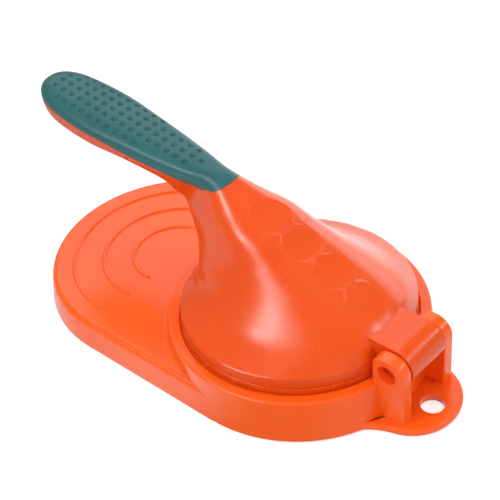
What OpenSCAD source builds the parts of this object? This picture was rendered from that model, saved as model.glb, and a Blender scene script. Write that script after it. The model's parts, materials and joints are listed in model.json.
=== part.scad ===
// Hand press for filled dough, after a moulded kitchen press: a stadium-shaped base
// with a round well, a tray and a hanging tab, and a bell-shaped lid that swings on
// one pin and carries a long handle with a soft grip.
// The design origin is the centre of the well at the underside of the base.
// place() moves it, so that the part stands on z = 0 with its box centred on the Z axis.
// +X runs from the handle's tip to the hinge, and the part is symmetric about y = 0.

/* [Base] */
// Width of the base outside the well, at the table
ring_w = 10; // [9.5:0.1:16]
// Distance from the well's centre to the tray's centre
tray_set = 68.7; // [60:0.1:80]
// Height of the tray's floor above the underside
tray_h = 12.3; // [11:0.1:15]
// Height of the flat ring around the well
ring_h = 18.7; // [17.6:0.1:24]
// Lean of the outer walls from upright, in degrees
wall_draft = 7.4; // [3:0.1:9]
// Rounding of the tray's outer edge
tray_edge_r = 3; // [1:0.25:4]
// Rounding of the ring's outer edge
ring_edge_r = 1.3; // [0.5:0.1:2]
// Radius of the fillet at the foot of the ring
ring_foot_r = 2.4; // [1:0.1:3]
// Thickness of the base's outer walls
base_wall = 2.6; // [2:0.1:3]
// Thickness of the base's floors
base_floor = 2.6; // [2:0.1:3]
// Thickness of the ribs under the base
rib_t = 1.8; // [1.2:0.1:2.6]
// Height of the ribs' lower edges above the underside
rib_lift = 1.2; // [0.6:0.1:3]
// Distance between the long ribs, of which one lies on the middle plane
rib_set = 19; // [14:0.5:22]
// Distance between the cross ribs
rib_pitch = 18; // [14:0.5:22]

/* [Tray ridges] */
// Radius of the innermost ridge's middle line
ridge_first_r = 18.1; // [12:0.1:20]
// Distance from one ridge to the next
ridge_pitch = 12.85; // [10:0.05:14]
// Width of a ridge
ridge_w = 1.7; // [1:0.1:3]
// Height of a ridge above the tray's floor
ridge_h = 0.8; // [0.4:0.1:1.5]
// Number of ridges
ridge_count = 3; // [1:1:3]

/* [Well] */
// Radius of the well
well_r = 45; // [38:0.5:60]
// Depth of the well below the ring
well_depth = 9; // [8:0.1:10]
// Depth of the ledge that the lid's plate sits in
ledge_depth = 1; // [0.6:0.1:1.6]
// Gap around the plate in the ledge
ledge_gap = 0.45; // [0.3:0.05:0.8]

/* [Hanging tab] */
// Radius of the tab's round end
tab_r = 20; // [18.5:0.25:24]
// Thickness of the tab
tab_h = 3.4; // [2.4:0.1:5]
// Rounding of the tab's upper edge
tab_edge_r = 1.3; // [0.4:0.1:2]
// Radius of the hollow curve between the tab and the body
tab_blend_r = 25; // [15:0.5:32]
// Radius of the hanging hole
hang_r = 4.7; // [3:0.1:5]
// Distance from the hinge axis to the middle of the hanging hole
hang_set = 10; // [9.5:0.1:11]

/* [Hinge] */
// Distance from the lid's rim to the hinge axis
hinge_set = 7; // [6.8:0.1:8]
// Height of the hinge axis above the ring
hinge_rise = 7.2; // [6.8:0.1:8]
// Diameter of the hinge pin
pin_d = 8; // [6:0.1:8.4]
// Gap between the pin and the bores, on each side
pin_gap = 0.05; // [0.02:0.01:0.1]
// Depth of the pin's ends below the ears' outer faces
pin_recess = 3; // [0.5:0.1:3.6]
// Chamfer on the pin's ends
pin_chamfer = 0.5; // [0.2:0.1:1]
// Distance between the ears
ear_space = 21.4; // [19:0.1:24]
// Thickness of an ear
ear_t = 5.4; // [4.6:0.1:6]
// Reach of an ear behind the axis, towards the lid
ear_back = 6.4; // [6.1:0.1:6.5]
// Reach of an ear in front of the axis
ear_front = 7.9; // [7:0.1:8.5]
// Height of an ear above the axis
ear_rise = 7.4; // [7:0.1:7.5]
// Rounding of an ear's upper corner in front of the axis
ear_front_r = 7.2; // [5:0.1:7.3]
// Rounding of an ear's upper corner towards the lid
ear_back_r = 4.8; // [4:0.1:6]
// Gap between the lug and each ear
lug_gap = 0.4; // [0.2:0.05:0.8]
// Radius of the lug around the axis
lug_r = 8.3; // [7.6:0.1:8.6]
// How far the lug's round front runs below the axis, in degrees
lug_wrap = 34; // [28:1:40]
// Depth that the lug reaches back under the bell
lug_root = 12; // [9:0.5:16]
// Gap between the turning lug and the relief cut in the ring
lug_relief = 0.7; // [0.4:0.1:1.2]

/* [Lid] */
// How far the lid's rim reaches past the well's edge
lid_lap = 2.2; // [2:0.1:3]
// Height of the seam between plate and bell above the ring
seam_h = 2.2; // [1.6:0.1:2.6]
// Width of the seam
seam_gap = 0.3; // [0.1:0.05:0.6]
// Height of the bell's rim crease above the ring
rim_h = 7.3; // [6.8:0.1:8]
// Height of the bell's back above its rim crease
bell_h = 33.9; // [30:0.1:38]
// Thickness of the bell's wall
bell_wall = 2.4; // [1.8:0.1:3]
// Depth of the four thumb dimples
scallop_depth = 0.8; // [0.4:0.1:1.2]
// Radius of a thumb dimple
scallop_r = 8.6; // [6:0.1:9]

/* [Press plate and disc] */
// Gap under the plate's flange when the lid is shut
shut_gap = 0.2; // [0.1:0.05:0.4]
// Thickness of the plate's web
plate_web = 2.5; // [1.8:0.1:3]
// Width of the spigot that centres the bell
spigot_w = 2; // [1.2:0.1:3]
// Height of the spigot above the seam
spigot_h = 3; // [1.5:0.1:4]
// Gap between spigot and bell
spigot_gap = 0.15; // [0.05:0.05:0.3]
// Gap between the pressing face's edge and the well
disc_gap = 2.5; // [2:0.1:4]
// How much wider the disc is at its upper edge than at its face
disc_taper = 1.5; // [1:0.1:1.8]
// Thickness of the disc's wall and face
disc_wall = 2.2; // [1.6:0.1:2.6]
// Room left for the dough when the lid is shut
dough_gap = 1; // [0.6:0.1:2]
// Length of the plate's collar that holds the disc
collar_h = 3.6; // [2.5:0.1:4.2]
// Width of that collar
collar_w = 2.2; // [1.6:0.1:3]
// Gap between collar and disc
collar_gap = 0.08; // [0.05:0.01:0.2]

/* [Plate screws] */
// Number of screws through the plate
screw_count = 4; // [3:1:6]
// Distance of the screws in from the disc's upper edge
screw_in = 11; // [9.5:0.5:16]
// Radius of a screw's shank
screw_r = 1.5; // [1.2:0.05:1.8]
// Radius of a screw's head
screw_head_r = 2.9; // [2.4:0.1:3.2]
// Height of a screw's head
screw_head_h = 2; // [1.4:0.1:2.4]
// Length of a screw under its head
screw_len = 10; // [7:0.5:11]
// Radius of the bell's screw bosses
boss_r = 3.6; // [3:0.1:4.5]
// Gap between a screw and its hole
screw_gap = 0.05; // [0.02:0.01:0.15]

/* [Handle] */
// Distance from the well's centre to the handle's tip
handle_reach = 132.8; // [120:0.2:150]
// Largest width of the handle
handle_w = 28; // [24:0.2:32]
// Width of the neck at the end of the grip
neck_w = 13.8; // [12:0.2:18]
// Length of the neck, from the end of the grip back to the handle's even stretch
neck_len = 32.1; // [26:0.1:38]
// Height of the handle's top line at the grip's end, above the ring
handle_rise = 51.1; // [49:0.1:54]
// Rise of the top line towards the tip, for each millimetre of length
handle_slope = 0.133; // [0.1:0.001:0.16]
// Height of the handle from its underside to its top line, near the middle
handle_depth = 16.7; // [15:0.1:19]
// Length of the handle's round tip
tip_len = 14.7; // [12:0.1:18]
// Fullness of the round tip, 2 for an ellipse
tip_fullness = 2.6; // [2:0.1:3]
// Fullness of the handle's cross-section, 2 for an ellipse
handle_fullness = 2.32; // [2:0.02:2.8]

/* [Grip] */
// Thickness of the soft grip
grip_t = 2; // [1.4:0.1:2.4]
// Distance from the well's centre to the grip's end on the top line
grip_end = 29.5; // [27:0.1:36]
// Radius of the grip's round end, seen from above
grip_end_r = 12; // [7:0.1:14]
// Gap between the grip and the handle's core
grip_gap = 0.05; // [0.02:0.01:0.1]

/* [Handle cover] */
// Distance from the tip to the cover's inner end
cover_len = 56; // [46:0.5:60]
// Height of the shell's band between the grip and the cover
band_h = 3; // [2:0.1:4]
// Thickness of the cover
cover_t = 2; // [1.6:0.1:2.4]
// Gap around the cover
cover_gap = 0.15; // [0.05:0.05:0.3]
// Distance from the tip to the first cover screw
cover_screw_first = 15; // [13:0.5:18]
// Distance from the first cover screw to the second
cover_screw_pitch = 31; // [24:0.5:33]
// Depth of the cover screws' heads below the cover's outer face
head_sink = 0.6; // [0.2:0.1:1]
// Grip of a cover screw in the handle
screw_bite = 5; // [3:0.5:5.5]

/* [Feet] */
// Radius of a foot
foot_r = 6; // [4:0.1:7]
// Depth that a foot sits in the base
foot_seat = 1.4; // [1:0.1:1.8]
// Height that a foot stands out of the base
foot_proud = 0.8; // [0.5:0.1:1.5]
// Gap around a foot in its seat
foot_gap = 0.1; // [0.05:0.01:0.2]
// Distance of a foot's centre in from the base's long side
foot_in_y = 21; // [19:0.5:26]
// Distance of a foot's centre in from the base's round end
foot_in_x = 37; // [33:0.5:44]

/* [Hidden] */
$fn = 96;

eps = 0.01;          // how far a cut runs past the face that it opens
over = 2;            // how far a cutting tool stands out of the part
screw_tip_room = 0.5; // depth of a pilot hole past its screw
arc_steps = 6;       // straight steps in a rounded edge's quarter
skin_points = 48;    // points round a section of the bell and handle
core_points = 32;    // points round a section of the surfaces inside them
rim_step = 0.4;      // how far the bell stands in from the skirt's outside
rim_ledge = 0.9;     // how far the bell's hollow is wider than the skirt's inside
boss_step = 0.2;     // how much thicker the foot of a screw boss is

orange = "#ff6a3a";
deep_orange = "#f0582c";
teal = "#3f7375";
steel = "#b9bec4";
rubber = "#3a3f42";

// places that follow from the sizes
draft_run = tan(wall_draft);
lid_r = well_r + lid_lap;
body_r = well_r + ring_w;
hinge_x = lid_r + hinge_set;
hinge_z = ring_h + hinge_rise;
hang_x = hinge_x + hang_set;
tab_end = hinge_x + tab_r;
centre_x = (handle_reach - tab_end) / 2;
well_floor_z = ring_h - well_depth;
ledge_r = lid_r + ledge_gap;
pin_r = pin_d / 2;
ear_out = ear_space / 2 + ear_t;
lug_w = ear_space - 2 * lug_gap;

// places in the lid, above the ring
flange_z = shut_gap - ledge_depth;
web_top = flange_z + plate_web;
disc_z = dough_gap - well_depth;
disc_r = well_r - disc_gap;
disc_top_r = disc_r + disc_taper;
screw_circle_r = disc_top_r - screw_in;
collar_r = disc_top_r - disc_wall - collar_gap;
spigot_r = lid_r - bell_wall - spigot_gap;

module place() {
    translate([centre_x, 0, foot_proud]) children();
}

// Radius of the body's leaning wall at height z
function wall_r(z) = body_r - z * draft_run;

// ---------- base ----------

// Points on an arc about c, from angle a0 to a1
function arc(c, r, a0, a1) = [for (k = [0 : arc_steps]) let (a = a0 + (a1 - a0) * k / arc_steps)
    c + r * [cos(a), sin(a)]];

// Half outline of a leaning disc with a rounded upper edge, to be turned about Z.
// The rounding touches the wall and the top.
module edge_profile(foot, z, r) {
    setback = r * tan(45 - wall_draft / 2);
    centre = [foot - z * draft_run - setback, z - r];
    polygon(concat([[0, 0], [foot, 0]], arc(centre, r, wall_draft, 90), [[0, z]]));
}

// Solid of one round end of the body, up to height z, with its edge rounded by r
module round_end(foot, z, r) {
    rotate_extrude() edge_profile(foot, z, r);
}

// Straight stretch between the two round ends
module straight(foot, z, r) {
    translate([-tray_set, 0, 0]) rotate([90, 0, 90]) linear_extrude(tray_set)
        for (side = [0, 1]) mirror([side, 0, 0])
            edge_profile(foot, z, r);
}

// Plan of the tab, with hollow curves that run into the body's wall.
// The curve's centre lies tab_blend_r outside both circles.
module tab_plan(inset) {
    body = body_r - inset;
    lobe = tab_r - inset;
    blend = tab_blend_r + inset;
    cx = (pow(body + blend, 2) - pow(lobe + blend, 2) + hinge_x * hinge_x) / (2 * hinge_x);
    cy = sqrt(pow(body + blend, 2) - cx * cx);
    translate([hinge_x, 0]) circle(lobe);
    difference() {
        polygon([[0, 0], [cx, cy], [hinge_x, 0], [cx, -cy]]);
        for (side = [-1, 1]) translate([cx, side * cy]) circle(blend);
    }
}

// The tab's edge is rounded in steps that follow a quarter circle
module tab_solid() {
    steps = 5;
    linear_extrude(tab_h - tab_edge_r) tab_plan(0);
    for (k = [1 : steps]) {
        a0 = 90 * (k - 1) / steps;
        a1 = 90 * k / steps;
        translate([0, 0, tab_h - tab_edge_r + tab_edge_r * sin(a0) - eps])
            linear_extrude(tab_edge_r * (sin(a1) - sin(a0)) + eps)
                tab_plan(tab_edge_r * (1 - cos((a0 + a1) / 2)));
    }
}

// Fillet between the ring's outer wall and the tray's floor
module ring_foot() {
    foot = wall_r(tray_h);
    r = ring_foot_r;
    rotate_extrude() polygon(concat(
        [[foot + r, tray_h - r], [foot - r, tray_h - r], [foot - r, tray_h + r]],
        arc([foot + r, tray_h + r], r, 180, 270)));
}

module ring_foot_on_tray() {
    flat_y = wall_r(tray_h) - tray_edge_r;
    intersection() {
        ring_foot();
        translate([-2 * body_r, -flat_y, 0]) cube([2 * body_r, 2 * flat_y, ring_h]);
    }
}

// Half-ring ridges on the tray's far half, with round ends
module tray_ridges() {
    for (k = [0 : ridge_count - 1]) {
        r = ridge_first_r + k * ridge_pitch;
        translate([-tray_set, 0, tray_h - eps]) {
            intersection() {
                rotate_extrude() translate([r - ridge_w / 2, 0]) square([ridge_w, ridge_h + eps]);
                translate([-body_r, -body_r, 0]) cube([body_r, 2 * body_r, ridge_h + over]);
            }
            for (side = [-1, 1]) translate([0, side * r, 0])
                cylinder(r = ridge_w / 2, h = ridge_h + eps, $fn = 24);
        }
    }
}

// Stadium-shaped space under a floor at height top, with leaning walls
module floor_space(top) {
    low = body_r - base_wall;
    high = low - top * draft_run;
    for (x = [-tray_set, 0]) translate([x, 0, -eps]) cylinder(r1 = low, r2 = high, h = top + eps);
    translate([-tray_set, 0, 0]) rotate([90, 0, 90]) linear_extrude(tray_set)
        polygon([[-low, -eps], [low, -eps], [high, top], [-high, top]]);
}

// Space under both floors. The tray's part stays outside the well's wall.
module underside_hollow() {
    floor_space(well_floor_z - base_floor);
    difference() {
        floor_space(tray_h - base_floor);
        cylinder(r = well_r + base_wall, h = ring_h);
    }
}

// Cored groove inside the ring, between the well's wall and the outer wall
module ring_groove() {
    top = ring_h - ledge_depth - base_floor;
    rotate_extrude() polygon([
        [well_r + base_wall, 0], [body_r - base_wall, 0],
        [wall_r(top) - base_wall, top], [well_r + base_wall, top]
    ]);
}

module ribs() {
    long = tray_set + 2 * body_r;
    for (k = [-1 : 1]) translate([-tray_set - body_r, k * rib_set - rib_t / 2, rib_lift])
        cube([long, rib_t, ring_h]);
    first = ceil(-(tray_set + body_r) / rib_pitch);
    for (k = [first : floor(body_r / rib_pitch)])
        translate([k * rib_pitch - rib_t / 2, -body_r, rib_lift]) cube([rib_t, 2 * body_r, ring_h]);
}

function foot_place(rear, left) = [
    rear ? foot_in_x - tray_set - body_r : body_r - foot_in_x,
    (left ? 1 : -1) * (body_r - foot_in_y)
];

module at_feet() {
    for (rear = [false, true], left = [false, true]) translate(foot_place(rear, left)) children();
}

// One ear in the XZ plane, as a plate with two round upper corners
module ear(y0) {
    left = hinge_x - ear_back;
    right = hinge_x + ear_front;
    top = hinge_z + ear_rise;
    translate([0, y0 + ear_t, 0]) rotate([90, 0, 0]) linear_extrude(ear_t) {
        polygon([[left, 0], [right, 0], [right, top - ear_front_r],
                 [right - ear_front_r, top - ear_front_r], [right - ear_front_r, top],
                 [left + ear_back_r, top], [left + ear_back_r, top - ear_back_r],
                 [left, top - ear_back_r]]);
        translate([left + ear_back_r, top - ear_back_r]) circle(ear_back_r, $fn = 64);
        translate([right - ear_front_r, top - ear_front_r]) circle(ear_front_r, $fn = 64);
    }
}

module along_hinge(r, length) {
    translate([hinge_x, length / 2, hinge_z]) rotate([90, 0, 0]) cylinder(r = r, h = length, $fn = 64);
}

module base_body() {
    difference() {
        union() {
            round_end(body_r, ring_h, ring_edge_r);
            translate([-tray_set, 0, 0]) round_end(body_r, tray_h, tray_edge_r);
            straight(body_r, tray_h, tray_edge_r);
            ring_foot_on_tray();
            tab_solid();
        }
        difference() {
            union() {
                underside_hollow();
                translate([0, 0, -eps]) ring_groove();
            }
            ribs();
            translate([hinge_x - ear_back - rib_t, -ear_out, 0])
                cube([ear_front + ear_back, 2 * ear_out, ring_h]);
            at_feet() cylinder(r = foot_r + rib_t, h = ring_h);
        }
        // the well and the ledge for the lid's plate
        translate([0, 0, well_floor_z]) cylinder(r = well_r, h = ring_h);
        translate([0, 0, ring_h - ledge_depth]) cylinder(r = ledge_r, h = ring_h);
        // room for the turning lug between the ears
        along_hinge(lug_r + lug_relief, ear_space);
        translate([hang_x, 0, -over]) cylinder(r = hang_r, h = tab_h + 2 * over);
        at_feet() translate([0, 0, -over]) cylinder(r = foot_r + foot_gap, h = foot_seat + over, $fn = 48);
    }
}

module base() {
    color(orange) place() {
        difference() {
            union() {
                base_body();
                difference() {
                    for (y0 = [-ear_out, ear_space / 2]) ear(y0);
                    translate([0, 0, ring_h - ledge_depth]) cylinder(r = ledge_r, h = ring_h);
                    cylinder(r = well_r + base_wall, h = ring_h - ledge_depth);
                }
            }
            along_hinge(pin_r + pin_gap, 2 * ear_out + over);
        }
        tray_ridges();
    }
}

module foot(rear, left) {
    color(rubber) place() translate(foot_place(rear, left)) translate([0, 0, -foot_proud]) {
        soft = foot_proud / 2;
        translate([0, 0, soft]) cylinder(r = foot_r, h = foot_proud - soft + foot_seat, $fn = 48);
        cylinder(r1 = foot_r - soft, r2 = foot_r, h = soft, $fn = 48);
    }
}

module foot_front_left() { foot(false, true); }
module foot_front_right() { foot(false, false); }
module foot_rear_left() { foot(true, true); }
module foot_rear_right() { foot(true, false); }

module hinge_pin() {
    length = 2 * (ear_out - pin_recess);
    color(deep_orange) place() translate([hinge_x, length / 2, hinge_z]) rotate([90, 0, 0]) {
        translate([0, 0, pin_chamfer]) cylinder(r = pin_r, h = length - 2 * pin_chamfer, $fn = 64);
        cylinder(r1 = pin_r - pin_chamfer, r2 = pin_r, h = pin_chamfer, $fn = 64);
        translate([0, 0, length - pin_chamfer])
            cylinder(r1 = pin_r, r2 = pin_r - pin_chamfer, h = pin_chamfer, $fn = 64);
    }
}

// ---------- lid: plate, disc and screws ----------

// Everything in the lid is drawn above the ring's flat top
module on_ring() {
    place() translate([0, 0, ring_h]) children();
}

module at_screws() {
    for (k = [0 : screw_count - 1]) rotate([0, 0, 360 * (k + 0.5) / screw_count])
        translate([screw_circle_r, 0, 0]) children();
}

// The lug: a block that leaves the plate under the bell and rounds over the axis. Its underside
// clears the ring and then rises to where the round front ends.
module lug() {
    back = lid_r - lug_root;
    front = hinge_x + lug_r * cos(lug_wrap);
    belly = hinge_rise - lug_r * sin(lug_wrap);
    difference() {
        union() {
            translate([back, -lug_w / 2, web_top - eps])
                cube([hinge_x - back, lug_w, hinge_rise + lug_r - web_top + eps]);
            translate([hinge_x, lug_w / 2, hinge_rise]) rotate([90, 0, 0])
                cylinder(r = lug_r, h = lug_w, $fn = 96);
        }
        translate([hinge_x, lug_w, hinge_rise]) rotate([90, 0, 0])
            cylinder(r = pin_r + pin_gap, h = 2 * lug_w, $fn = 64);
        translate([0, lug_w, 0]) rotate([90, 0, 0]) linear_extrude(2 * lug_w) polygon([
            [lid_r, -ring_h], [lid_r, shut_gap], [hinge_x - lug_r / 2, shut_gap], [front, belly],
            [front + over, belly], [front + over, -ring_h]
        ]);
    }
}

module press_plate() {
    color(deep_orange) on_ring() {
        difference() {
            union() {
                translate([0, 0, flange_z]) cylinder(r = lid_r, h = plate_web);
                difference() {
                    translate([0, 0, web_top - eps]) cylinder(r = lid_r, h = seam_h - web_top + eps);
                    cylinder(r = spigot_r - spigot_w, h = seam_h + over);
                }
                difference() {
                    translate([0, 0, seam_h - eps]) cylinder(r = spigot_r, h = spigot_h + eps);
                    cylinder(r = spigot_r - spigot_w, h = seam_h + spigot_h + over);
                }
                translate([0, 0, flange_z - collar_h]) cylinder(r = collar_r, h = collar_h + eps);
                lug();
            }
            translate([0, 0, flange_z - collar_h - over])
                cylinder(r = collar_r - collar_w, h = collar_h + over);
            at_screws() translate([0, 0, flange_z - over])
                cylinder(r = screw_r + screw_gap, h = plate_web + 2 * over, $fn = 32);
        }
    }
}

module press_disc() {
    tall = flange_z - disc_z;
    color(orange) on_ring() translate([0, 0, disc_z]) difference() {
        cylinder(r1 = disc_r, r2 = disc_top_r, h = tall);
        translate([0, 0, disc_wall]) cylinder(r = disc_r - disc_wall, h = tall);
        translate([0, 0, tall - collar_h - disc_wall / 2])
            cylinder(r = collar_r + collar_gap, h = tall);
    }
}

module one_screw(length) {
    cylinder(r = screw_r, h = length, $fn = 32);
    translate([0, 0, -screw_head_h]) difference() {
        cylinder(r1 = screw_head_r - screw_head_h / 3, r2 = screw_head_r, h = screw_head_h, $fn = 32);
        for (turn = [0, 90]) rotate([0, 0, turn])
            translate([-screw_r, -screw_r / 5, -over])
                cube([2 * screw_r, screw_r * 0.4, screw_head_h / 2 + over]);
    }
}

module plate_screws() {
    color(steel) on_ring() at_screws() translate([0, 0, flange_z]) one_screw(screw_len);
}

// ---------- lid: the bell and handle surface ----------

// Height of the handle's top line, which runs straight to the tip
function crest_z(x) = handle_rise - handle_slope * (x + grip_end);

tip_x = -handle_reach;
half_w = handle_w / 2;
half_neck = neck_w / 2;
section_pitch = (handle_reach - grip_end - neck_len) / 4; // spacing of the handle's upright sections
rim_r = lid_r - rim_step;

// The handle's upright sections, from the tip: height as a share of handle_depth, half width as
// a share of half_w, and how far down from top to bottom the widest line lies
handle_shape = [
    [1.056, 0.664, 0.35],
    [1.088, 0.929, 0.34],
    [1.012, 1, 0.35],
    [0.912, 0.886, 0.36],
    [0.932, 0.743, 0.33]
];

// The neck's slanting sections: the top point's distance behind the grip's end as a share of
// neck_len, its drop below the crest and the bottom point's height above the rim as shares of
// bell_h, the bottom point's x as a share of lid_r, the half width as a share of half_neck, and
// the place of the widest line
neck_shape = [
    [0.576, 0, -1.246, 0.835, 1.275, 0.27],
    [0.14, 0, -1.178, 0.708, 1, 0.24],
    [-0.296, 0.11, -1.108, 0.587, 1.71, 0.29]
];

// The bell's sections, which fan round to lie flat at the rim: the top point's x as a share of
// lid_r and its height above the rim as a share of bell_h, the same two for the bottom point,
// the half width as a share of lid_r, and the place of the widest line
bell_shape = [
    [-0.127, 1, -1.042, 0.472, 0.347, 0.3],
    [0.169, 0.785, -0.987, 0.363, 0.443, 0.4],
    [0.466, 0.614, -0.953, 0.263, 0.536, 0.5],
    [0.73, 0.43, -0.945, 0.165, 0.636, 0.5],
    [0.94, 0.22, -0.962, 0.08, 0.776, 0.5]
];

// Control sections of the lid, from the tip to the rim. Each holds the top point's x and z,
// the bottom point's x and z, the half width, and the place of the widest line.
sections = concat(
    [for (k = [0 : len(handle_shape) - 1])
        let (s = handle_shape[k], x = tip_x + k * section_pitch)
        [x, crest_z(x), x, crest_z(x) - s[0] * handle_depth, s[1] * half_w, s[2]]],
    [for (s = neck_shape)
        let (x = -grip_end - s[0] * neck_len)
        [x, crest_z(x) - s[1] * bell_h, s[2] * lid_r, rim_h + s[3] * bell_h, s[4] * half_neck, s[5]]],
    [for (s = bell_shape)
        [s[0] * lid_r, rim_h + s[1] * bell_h, s[2] * lid_r, rim_h + s[3] * bell_h, s[4] * lid_r, s[5]]],
    [[rim_r, rim_h, -rim_r, rim_h, rim_r, 0.5]]
);
last = len(sections) - 1;
neck_at = 6;         // the control section where the neck is narrowest

// Smooth curve through a list of rows, at place u counted in rows
function through(rows, u) =
    let (n = len(rows), i = min(floor(u), n - 2), t = u - i,
         b = rows[i], c = rows[i + 1],
         a = i == 0 ? 2 * b - c : rows[i - 1],
         d = i == n - 2 ? 2 * c - b : rows[i + 2])
    0.5 * (2 * b + (c - a) * t + (2 * a - 5 * b + 4 * c - d) * t * t
           + (3 * b - a - 3 * c + d) * t * t * t);

// Superellipse power: the handle's fullness, easing to a plain ellipse past the neck
function power_at(u) = let (k = min(1, max(0, (u - neck_at + 1) / 2))) (1 - k) * handle_fullness + k * 2;

// How much of a section is left in the round tip, by a superellipse quarter
function tip_left(x, tip) =
    let (q = min(1, max(0, (x - tip) / tip_len)))
    pow(1 - pow(1 - q, tip_fullness), 1 / tip_fullness);

function signed_pow(v, p) = sign(v) * pow(abs(v), p);

// One ring of points: the section at u, drawn inwards by top, side and bottom
function lid_ring(u, top, side, bottom, count) =
    let (s = through(sections, u), e = 2 / power_at(u),
         tall = norm([s[0] - s[2], s[1] - s[3]]),
         down = [s[2] - s[0], s[3] - s[1]] / tall,
         left = tip_left(s[0], tip_x + side * 0.9),
         head = [s[0], s[1]] + down * top,
         heel = [s[2], s[3]] - down * bottom,
         mid = [s[0], s[1]] + down * tall * s[5],
         w = max(0.5, s[4] - side) * left)
    [for (k = [0 : count - 1])
        let (a = 360 * k / count, up = sin(a) >= 0, reach = (up ? head - mid : heel - mid) * left,
             v = pow(abs(sin(a)), e))
        [mid[0] + reach[0] * v, w * signed_pow(cos(a), e), mid[1] + reach[1] * v]];

// A copy of a ring, lower by drop
function lowered(ring, drop) = [for (p = ring) [p[0], p[1], p[2] - drop]];

// A closed skin over a list of rings, all of the same count, with flat ends
module skin(rings) {
    n = len(rings);
    m = len(rings[0]);
    polyhedron(
        points = [for (ring = rings) each ring],
        faces = concat(
            [for (i = [0 : n - 2], k = [0 : m - 1])
                let (l = (k + 1) % m) each [
                    [i * m + k, (i + 1) * m + k, (i + 1) * m + l],
                    [i * m + k, (i + 1) * m + l, i * m + l]]],
            [[for (k = [0 : m - 1]) k]],
            [[for (k = [m - 1 : -1 : 0]) (n - 1) * m + k]]
        ));
}

// Places along the lid: close together in the tip, even along the handle and the bell
function lid_places(first, tip_steps, steps, end) = concat(
    [for (k = [0 : tip_steps - 1]) first + (0.85 - first) * pow(k / tip_steps, 1.7)],
    [for (k = [0 : steps]) 0.85 + (end - 0.85) * k / steps]);

module lid_outer() {
    rings = [for (u = lid_places(0.012, 7, 34, last)) lid_ring(u, 0, 0, 0, skin_points)];
    skin(concat(rings, [lowered(rings[len(rings) - 1], bell_wall / 4)]));
}

// The handle's core under the soft grip
module lid_core(gap) {
    inset = grip_t + gap;
    skin([for (u = lid_places(0.2, 5, 16, neck_at + 1.4)) lid_ring(u, inset, inset, inset, core_points)]);
}

// The hollow inside bell and handle, open at the rim. Its mouth is a little wider than the
// skirt's inside, so that the skirt's upper edge shows there as a narrow ledge.
module lid_hollow() {
    shell = bell_wall + grip_t;
    rings = [for (u = lid_places(0.4, 4, 22, last))
        let (thick = u < neck_at ? shell : max(bell_wall, shell - grip_t * (u - neck_at)))
        lid_ring(u, thick, u > last - 0.5 ? bell_wall - rim_ledge : thick, bell_wall, core_points)];
    mouth = rings[len(rings) - 1];
    skin(concat(rings, [lowered(mouth, bell_wall)]));
}

// Middle line of the widest points, seen from the side
function waist(u) =
    let (s = through(sections, u))
    [s[0] + (s[2] - s[0]) * s[5], s[1] + (s[3] - s[1]) * s[5]];

// The place u where the waist reaches x, found by halving between low and high
function waist_place(x, low = 0, high = neck_at + 2, steps = 24) =
    steps == 0 ? low :
    let (mid = (low + high) / 2)
    waist(mid)[0] < x ? waist_place(x, mid, high, steps - 1) : waist_place(x, low, mid, steps - 1);

// Side view from the tip to x_end of what lies between the height far and a line that runs
// beside the waist, higher by lift
module beside_waist(lift, x_end, far) {
    points = 24;
    end = waist_place(x_end);
    line = [for (k = [0 : points]) waist(end * k / points) + [0, lift]];
    rotate([90, 0, 0]) linear_extrude(2 * handle_w, center = true)
        polygon(concat([[tip_x - over, far], [tip_x - over, line[0][1]]], line, [[x_end, far]]));
}

// Seen from above, the grip runs from the tip to a round end
module grip_plan(gap) {
    linear_extrude(3 * handle_rise) {
        translate([tip_x - over, -handle_w])
            square([handle_reach + over - grip_end - grip_end_r + eps, 2 * handle_w]);
        translate([-grip_end - grip_end_r, 0]) circle(grip_end_r + gap, $fn = 64);
    }
}

module grip_zone(gap) {
    intersection() {
        beside_waist(-gap, gap - grip_end, 3 * handle_rise);
        grip_plan(gap);
    }
}

module grip() {
    color(teal) on_ring() difference() {
        intersection() {
            lid_outer();
            grip_zone(0);
        }
        lid_core(0);
    }
}

// The space that the handle's cover fills
module cover_zone(gap) {
    beside_waist(gap - band_h, tip_x + cover_len + gap, -over);
}

// Place of a cover screw: x, and the height of the face that its head rests on
function cover_screw_seat(k) =
    let (u = (cover_screw_first + k * cover_screw_pitch) / section_pitch, s = through(sections, u))
    [s[0], s[3] + head_sink + screw_head_h];

// Height of the cover's flat top at a screw, and the length that its screw needs
function cover_top(x) = waist((x - tip_x) / section_pitch)[1] - band_h;
function cover_screw_len(k) = cover_top(cover_screw_seat(k)[0]) - cover_screw_seat(k)[1] + screw_bite;

module handle_cover() {
    color(deep_orange) on_ring() difference() {
        intersection() {
            lid_outer();
            cover_zone(0);
        }
        difference() {
            skin([for (u = lid_places(0.3, 4, 16, neck_at))
                lid_ring(u, cover_t, cover_t, cover_t, core_points)]);
            for (k = [0, 1]) translate([cover_screw_seat(k)[0], 0, 0])
                cylinder(r = boss_r + cover_t / 2, h = handle_rise * 2, $fn = 32);
        }
        for (k = [0, 1]) translate([cover_screw_seat(k)[0], 0, 0]) {
            cylinder(r = screw_r + screw_gap, h = 2 * handle_rise, $fn = 32);
            cylinder(r = screw_head_r + 4 * screw_gap, h = cover_screw_seat(k)[1], $fn = 32);
        }
    }
}

module cover_screws() {
    color(steel) on_ring() for (k = [0, 1])
        translate([cover_screw_seat(k)[0], 0, cover_screw_seat(k)[1]]) one_screw(cover_screw_len(k));
}

// Places of the four thumb dimples along the lid, counted in control sections
scallop_places = [7.73, 8.7, 9.78, 10.9];

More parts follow.
